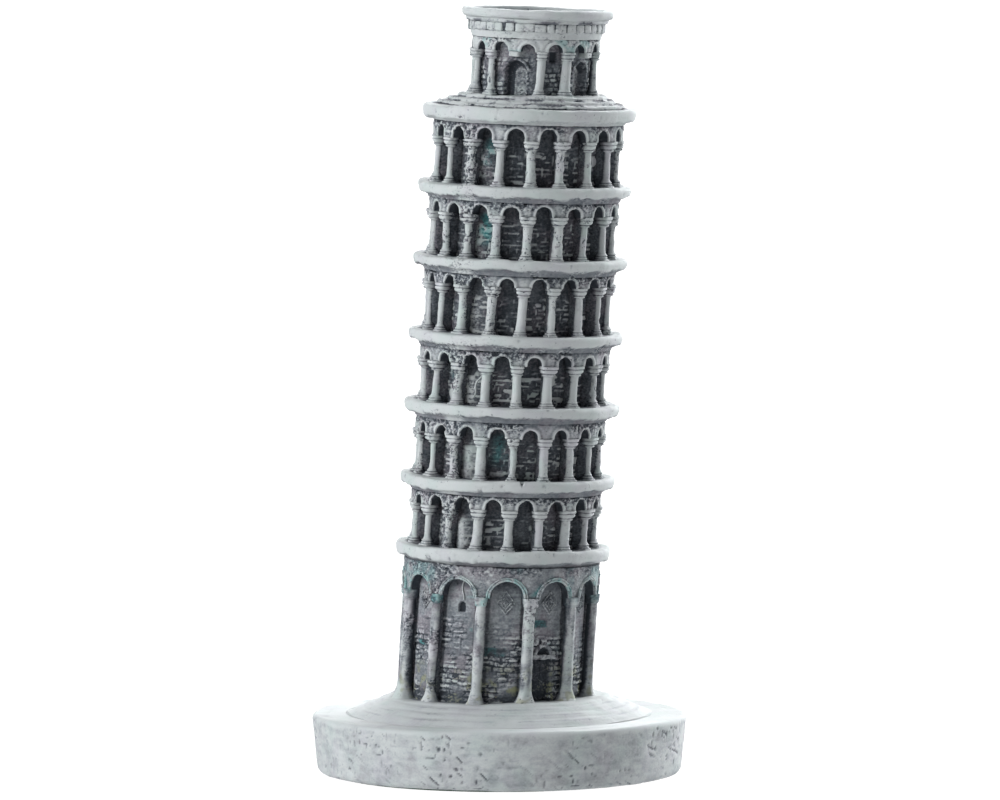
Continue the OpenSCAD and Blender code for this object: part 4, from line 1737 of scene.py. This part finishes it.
@dataclass(frozen=True)
class Belfry(Storey):
    """The narrower top storey, with its steps, doorways, dentils and crown."""

    wall_paint: Paint
    column_paint: Paint
    arch_paint: Paint
    ledge_paint: Paint
    crown_paint: Paint
    bays: int = 14
    column_bearing: float = 250.0
    column_ring: float = 11.95
    doors: tuple[int, ...] = (0, 3, 7, 10)
    door_arch: float = 2.3
    door_height: float = 7.0
    door_depth: float = 1.8
    leaf_turn: float = 3.8
    leaf_arch: float = 1.5
    window_sill: float = 6.8
    window_width: float = 1.4
    window_height: float = 2.0
    steps: tuple[float, ...] = (19.0, 17.1, 15.2)
    dentils: int = 40
    crown_proud: float = 0.12

    def build(self) -> None:
        """Builds every piece of the storey."""
        self.step_rings()
        self.wall()
        self.columns()
        self.corbels()
        self.arcade()
        self.archivolts()
        self.frieze()
        self.dentil_blocks()
        self.crown()
        self.roof()

    def bearing(self, place: float) -> float:
        """Bearing of a column's place."""
        return self.column_bearing + place * 360 / self.bays

    def step_rings(self) -> None:
        """Three worn steps up to the belfry's floor."""
        drum = self.lean.drum("belfry_steps")
        rise = (drum.high - drum.low) / len(self.steps)
        corners = [(0.5, drum.low, 1), (self.steps[0] - 0.1, drum.low, 4)]
        for n, edge in enumerate(self.steps):
            foot = drum.low + n * rise
            corners.append((edge, foot + 0.15, 0.18))
            corners.append((edge - 0.1, foot + rise - 0.25, 0.18))
            corners.append((edge - 0.4, foot + rise - 0.02, 0.18))
            if n + 1 < len(self.steps):
                corners.append((self.steps[n + 1] + 0.2, foot + rise + 0.04, 0.22))
        r, z = outline(*corners, (10.0, drum.high, 0.3), (0.5, drum.high, 3))
        skin = Skin.of(turned(r, z, even_bearings(drum.radius, 0.22)), 0.85)
        shown = ease(9, 10.5, r)[:, None]
        waves = 0.22 * GRAIN.smooth(skin.points, (4, 4, 20)) + 0.12 * GRAIN.rough(skin.points + 6, 1.6, 2)
        skin.push((waves - 0.05) * shown, 1.6)
        creases = sum(hump(drum.low + (n + 0.1) * rise, 0.17, skin.points[..., 2]) for n in range(3))
        broken = ease(-0.4, 0.3, GRAIN.smooth(skin.points + 71, 2.0))
        skin.paint = skin.paint - 0.75 * creases * broken + 0.14 * GRAIN.rough(skin.points, 2.0, 3)
        MOULD.weather(skin, (0.15 + 0.4 * broken) * shown)
        self.cast("belfry_step_rings", self.ledge_paint, "belfry_steps", skin)

    def wall(self) -> None:
        """The belfry's wall, with arched doorways and small windows sunk in it."""
        drum = self.lean.drum("belfry_wall")
        spring = drum.low + self.door_height - self.door_arch
        sill = drum.low + self.window_sill
        head, low, arch = sill + self.window_height, drum.low - 1, self.door_arch
        doorway = Recess(0, 2 * arch, low, spring, arch, self.door_depth, 1.0)
        recesses = [replace(doorway, bearing=self.bearing(n)) for n in self.doors]
        for n in range(self.bays):
            if n not in self.doors and (n + 1) % self.bays not in self.doors:
                recesses.append(Recess(self.bearing(n + 0.5), self.window_width, sill, head, 0, 0.9, 1.0))
        wall = RoundWall(drum, step=0.18)
        skin = wall.skin()
        points = skin.points
        stones = Stones(course=0.95, stone=1.5, grain=Grain(77)).proud(points, drum.radius)
        share = (points[..., 2] - drum.low) / (drum.high - drum.low)
        patchy = ease(-0.6, 0.2, GRAIN.smooth(points + 44, 2.6)) * ease(0.55, 0.4, share)
        rough = GRAIN.rough(points + 3, 1.6, 3)
        paint = 0.36 + 0.55 * (stones - 0.5) * (0.15 + 0.85 * patchy) + 0.3 * rough
        relief = (0.26 * (stones - 0.6) + 0.12 * rough) * patchy
        wall.dress(skin, relief, paint, 0.2 + 0.4 * patchy, tuple(recesses))
        # Each doorway is painted dark as painted shade; a lighter door leaf is painted inside it, shifted
        # to one side, so the painted shade stays on the other reveal.
        for n in self.doors:
            turned_in = self.bearing(n) + self.leaf_turn
            inner = Recess(turned_in, 2 * self.leaf_arch, low, spring - 0.5, self.leaf_arch, 0)
            leaf = inner.inside(points, drum.radius)
            skin.paint = skin.paint + leaf * (0.56 + 0.30 * GRAIN.rough(points + 19, 1.4, 3))
        self.cast("belfry_masonry", self.wall_paint, "belfry_wall", skin)

    def columns(self) -> None:
        """The belfry's columns."""
        drum = self.lean.drum("belfry_columns")
        form = ColumnForm(
            low=drum.low - 0.15,
            high=drum.high + 0.1,
            ring=self.column_ring,
            shaft=0.98,
            base=1.3,
            capital=1.2,
            capital_h=1.45,
            slimmed=0.25,
        )
        dice = np.random.default_rng(8)
        skins = [form.skin(self.bearing(n), dice) for n in range(self.bays) if n not in self.doors]
        self.cast("belfry_column_ring", self.column_paint, "belfry_columns", *skins)

    def corbels(self) -> None:
        """Short capitals over the doorways."""
        drum = self.lean.drum("belfry_corbels")
        ring, middle = self.column_ring, drum.high - 0.5
        skins = [block(self.bearing(n), ring, middle, 1.0, 1.15, 0.6) for n in self.doors]
        self.cast("belfry_corbel_blocks", self.column_paint, "belfry_corbels", *skins)

    def arcade(self) -> None:
        """The belfry's ring of arches."""
        drum = self.lean.drum("belfry_arcade")
        ring = ArchRing(
            drum=replace(drum, inner=drum.inner - 0.3),
            bays=self.bays,
            column_bearing=self.column_bearing,
            arch=1.5,
            stilt=0.05,
            top_wash_and_shade=0.1,
            crumb=0.5,
            paint=0.84,
            seed=60,
        )
        skin = ring.skin()
        skin.teal = 0.5 * ease(0.25, 0.7, GRAIN.smooth(skin.points + 18, 3.0))
        self.cast("belfry_arch_ring", self.arch_paint, "belfry_arcade", skin)

    def archivolts(self) -> None:
        """The band over each doorway."""
        wall = self.lean.drum("belfry_wall")
        spring = wall.low + self.door_height - self.door_arch
        skins = []
        for n in self.doors:
            skin = arch_band(self.bearing(n), spring, self.door_arch + 0.3, wall.radius, 0.30, 0.18)
            skin.paint = skin.paint - 0.34
            skins.append(skin)
        self.cast("belfry_archivolt_bands", self.arch_paint, "belfry_archivolts", *skins)

    def frieze(self) -> None:
        """The flaring band under the crown."""
        drum = self.lean.drum("belfry_frieze")
        low, high, outer, inner = drum.low, drum.high, drum.radius, drum.inner
        r, z = outline(
            (inner, low, 1),
            (outer - 1.45, low, 0.25),
            (outer - 1.35, low + 0.5, 0.2),
            (outer - 1.15, low + 1.2, 0.2),
            (outer - 0.95, low + 1.45, 0.2),
            (outer - 1.05, low + 1.6, 0.2),
            (outer - 0.75, low + 3.05, 0.2),
            (outer - 0.15, low + 3.3, 0.2),
            (outer - 0.05, high, 0.2),
            (inner, high, 0.6),
            (inner, low, 0.6),
        )
        skin = Skin.of(turned(r[:-1], z[:-1], even_bearings(outer, 0.2)), 0.8, ring=True)
        points = skin.points
        shown = ease(inner + 0.3, inner + 1, r[:-1])[:, None]
        height = points[..., 2] - low
        # Just under the crown's overhang the band is painted dark: painted shade under the crown.
        under_crown = hump(3.35, 0.3, height) * ease(-0.5, 0.2, GRAIN.smooth(points + 31, 2.5))
        crease = hump(1.5, 0.14, height) * ease(-0.1, 0.4, GRAIN.smooth(points + 61, 3.0))
        worn = 0.12 * GRAIN.rough(points, 2.0, 3)
        # Behind the dentil blocks the band is painted dark: painted shade in the gaps between the blocks.
        between = ease(1.35, 1.6, height) * ease(3.2, 3.0, height)
        skin.paint = 0.84 - 0.6 * under_crown - 0.45 * crease + worn - 0.72 * between
        MOULD.weather(skin, 0.35 * shown * ease(-0.2, 0.4, GRAIN.smooth(points + 3, 3.0)))
        self.cast("belfry_frieze_band", self.crown_paint, "belfry_frieze", skin)

    def dentil_blocks(self) -> None:
        """The blocks under the crown, run together here and there."""
        drum = self.lean.drum("belfry_dentils")
        dice = np.random.default_rng(9)
        tall = (drum.high - drum.low) / 2
        half_pitch = math.pi * drum.radius / self.dentils
        skins = []
        for n in range(self.dentils):
            bearing = (n + 0.3 + dice.normal(0, 0.06)) * 360 / self.dentils
            wide = half_pitch * dice.choice([0.66, 0.78, 0.86, 0.92, 1.02, 1.08])
            ring = drum.radius - 0.5 + dice.normal(0, 0.06)
            middle = drum.middle + dice.normal(0, 0.08)
            skin = block(bearing, ring, middle, 0.4, wide, tall * dice.uniform(1.1, 1.3))
            skin.paint = skin.paint - 0.04 + dice.normal(0, 0.06)
            skins.append(skin)
        self.cast("belfry_dentil_blocks", self.crown_paint, "belfry_dentils", *skins)

    def crown(self) -> None:
        """The rim round the top."""
        drum = self.lean.drum("belfry_crown")
        low, high, outer, inner = drum.low, drum.high, drum.radius + self.crown_proud, drum.inner
        r, z = outline(
            (inner, low, 1),
            (outer - 0.9, low, 0.4),
            (outer - 0.3, low + 0.3, 0.18),
            (outer - 0.05, low + 0.7, 0.18),
            (outer, high - 0.55, 0.18),
            (outer - 0.12, high - 0.2, 0.18),
            (outer - 0.4, high - 0.02, 0.18),
            (inner + 0.3, high, 0.2),
            (inner, high - 0.25, 0.2),
            (inner, low, 0.3),
        )
        skin = Skin.of(turned(r[:-1], z[:-1], even_bearings(outer, 0.2)), 0.9, ring=True)
        rim = skin.points * np.array([1, 1, 0])
        waves = 0.12 * GRAIN.smooth(rim, 5) + 0.07 * GRAIN.smooth(rim + 7, 2)
        chips = GRAIN.spots(skin.points + 90, (1.6, 1.6, 0.8), 0.08)
        skin.push(waves - 0.18 * chips, 0.8)
        skin.paint = skin.paint - 0.04 - 0.16 * chips + 0.10 * GRAIN.rough(skin.points, 2.5, 3)
        MOULD.weather(skin, 0.08, 0.7)
        self.cast("belfry_crown_rim", self.crown_paint, "belfry_crown", skin)

    def roof(self) -> None:
        """The sunken roof inside the crown."""
        drum = self.lean.drum("belfry_roof")
        r, z = outline(
            (0.3, drum.low, 1),
            (drum.radius, drum.low, 3),
            (drum.radius, drum.high, 0.3),
            (0.3, drum.high, 0.25),
        )
        skin = Skin.of(turned(r, z, even_bearings(drum.radius, 0.3)), 0.7)
        top = ease(drum.high - 0.2, drum.high - 0.05, z)[:, None]
        ridges = 0.06 * np.sin(r[:, None] * 3.2 + 2 * GRAIN.smooth(skin.points, 4))
        edge = ease(drum.radius - 2.2, drum.radius - 0.3, r)[:, None]
        skin.paint = 0.80 - 0.25 * edge + 0.14 * GRAIN.rough(skin.points, 2.4, 3)
        skin.push((ridges - 0.08 + MOULD.relief(skin.points, 0.2)) * top, 2.0)
        self.cast("belfry_roof_disc", self.crown_paint, "belfry_roof", skin)


# ---------------------------------------------------------------------------------------------
# Floor, light and camera
# ---------------------------------------------------------------------------------------------


@dataclass(frozen=True)
class Lobe:
    """A soft light in the studio's surround."""

    bearing: float
    rise: float
    power: float
    spread: float

    def axis(self) -> tuple[float, float, float]:
        """Unit vector towards the light."""
        beta, up = math.radians(self.bearing), math.radians(self.rise)
        return (math.cos(beta) * math.cos(up), math.sin(beta) * math.cos(up), math.sin(up))


@dataclass(frozen=True)
class Studio:
    """A pale floor, a soft white surround that is dim at the front right, and a long lens."""

    lobes: tuple[Lobe, ...] = (
        Lobe(bearing=204, rise=12.8, power=7.34, spread=0.205),
        Lobe(bearing=58.6, rise=7.5, power=10.1, spread=0.523),
        Lobe(bearing=0, rise=90, power=1.4, spread=0.4),
    )
    ambient: float = 0.06
    backdrop: float = 1.1
    floor_albedo: float = 0.06
    floor_glow: float = 1.0
    distance: float = 1.82
    shift: float = 0.0002
    eye_height: float = 0.207
    aim_height: float = 0.0758
    view_width: float = 0.2020
    sensor: float = 36.0
    floor_half: float = 60.0

    def build(self) -> None:
        """Sets up everything round the model."""
        self.floor()
        self.surround()
        self.camera()
        bpy.context.scene.view_settings.view_transform = "Standard"

    def floor(self) -> None:
        """A pale floor under the model."""
        h = self.floor_half
        mesh = bpy.data.meshes.new("studio_floor")
        mesh.from_pydata([(-h, -h, 0), (h, -h, 0), (h, h, 0), (-h, h, 0)], [], [(0, 1, 2, 3)])
        made = bpy.data.objects.new("studio_floor", mesh)
        bpy.context.scene.collection.objects.link(made)
        g = Graph(bpy.data.materials.new("studio_floor_white"))
        a = self.floor_albedo
        sockets = {"Base Color": (a, a, a, 1), "Roughness": 0.9, "Emission Color": (1, 1, 1, 1)}
        mesh.materials.append(g.finish({**sockets, "Emission Strength": self.floor_glow}))

    def surround(self) -> None:
        """The light from all round; the backdrop itself is plain white."""
        world = bpy.data.worlds.new("studio_surround")
        g = Graph(world)
        toward = g.place("Generated")
        light = self.ambient
        for lobe in self.lobes:
            dot = g.add("ShaderNodeVectorMath", {"operation": "DOT_PRODUCT"}, {0: toward, 1: lobe.axis()})
            facing = Signal(g, dot.outputs["Value"])
            light = facing.ease(1 - lobe.spread, 1.0) * lobe.power + light
        seen = Signal(g, g.add("ShaderNodeLightPath", {}, {}).outputs["Is Camera Ray"])
        strength = seen * self.backdrop + (1 - seen) * light
        background = g.add("ShaderNodeBackground", {}, {"Color": (1, 1, 1, 1), "Strength": strength})
        g.add("ShaderNodeOutputWorld", {}, {"Surface": background.outputs[0]})
        bpy.context.scene.world = world

    def camera(self) -> None:
        """A long lens from the front, a little above the model's middle."""
        data = bpy.data.cameras.new("camera")
        made = bpy.data.objects.new("camera", data)
        made.location = (self.shift, -self.distance, self.eye_height)
        toward = Vector((self.shift, 0, self.aim_height)) - made.location
        made.rotation_euler = toward.to_track_quat("-Z", "Y").to_euler()
        data.sensor_width = self.sensor
        data.lens = self.sensor * toward.length / self.view_width
        data.clip_start = 0.01
        data.clip_end = 200
        bpy.context.scene.collection.objects.link(made)
        bpy.context.scene.camera = made


def main() -> None:
    """Builds the studio and every piece of the model, from the bottom up."""
    logging.basicConfig(level=logging.INFO, format="%(message)s")
    Studio().build()
    lean = Lean.from_frame()
    tilt = math.degrees(lean.angle)
    LOG.info("lean %.3f degrees, foot at x %.2f, z %.2f", tilt, lean.foot_x, lean.foot_z)
    plinth = ResinPaint(Slot.PLINTH, tints=0.5, blotch=0.14, grain=0.20, speck=0.15)
    wall = ResinPaint(Slot.WALL, moss=0.9)
    column = ResinPaint(Slot.COLUMN, moss=0.5)
    arch = ResinPaint(Slot.ARCH)
    ledge = ResinPaint(Slot.LEDGE, tints=0.5, blotch=0.14, grain=0.2, speck=0.4)
    crown = ResinPaint(Slot.CROWN, tints=0.5, blotch=0.16, grain=0.24)
    Plinth(plinth, FeltPaint(Slot.FELT)).build()
    GroundStorey(lean, wall, column, arch).build()
    Cornice(lean, 1, ledge, under_wash_and_shade=0.46, nose=0.24).build()
    Cornice(lean, 2, ledge, nose=0.30, notch=278.0).build()
    Cornice(lean, 3, ledge).build()
    for number in range(4, 7):
        Cornice(lean, number, ledge, under_crumb=0.6).build()
    Cornice(lean, 7, ledge, under_wash_and_shade=0.72, nose=0.22).build()
    arches = ((1.6, 0.5), (1.46, 0.45), (1.5, 0.35), (1.5, 0.3), (1.62, 0.35), (1.7, 0.8))
    mounds = (1.5, 0.9, 0.5, 0.3, 0.2, 0.3)
    tints = ((0.0, 242.5), (0.8, 262.5), (0.48, 222.5), (0.0, 242.5), (1.28, 242.5), (0.8, 242.5))
    for storey, ((radius, stilt), mound, (tint, at)) in enumerate(zip(arches, mounds, tints), 2):
        gallery = Gallery(lean, storey, radius, stilt, wall, column, arch, mound)
        replace(gallery, flash=storey == 4, tint=tint, tint_bearing=at).build()
    Belfry(lean, wall, column, arch, ledge, crown).build()


if __name__ == "__main__":
    main()
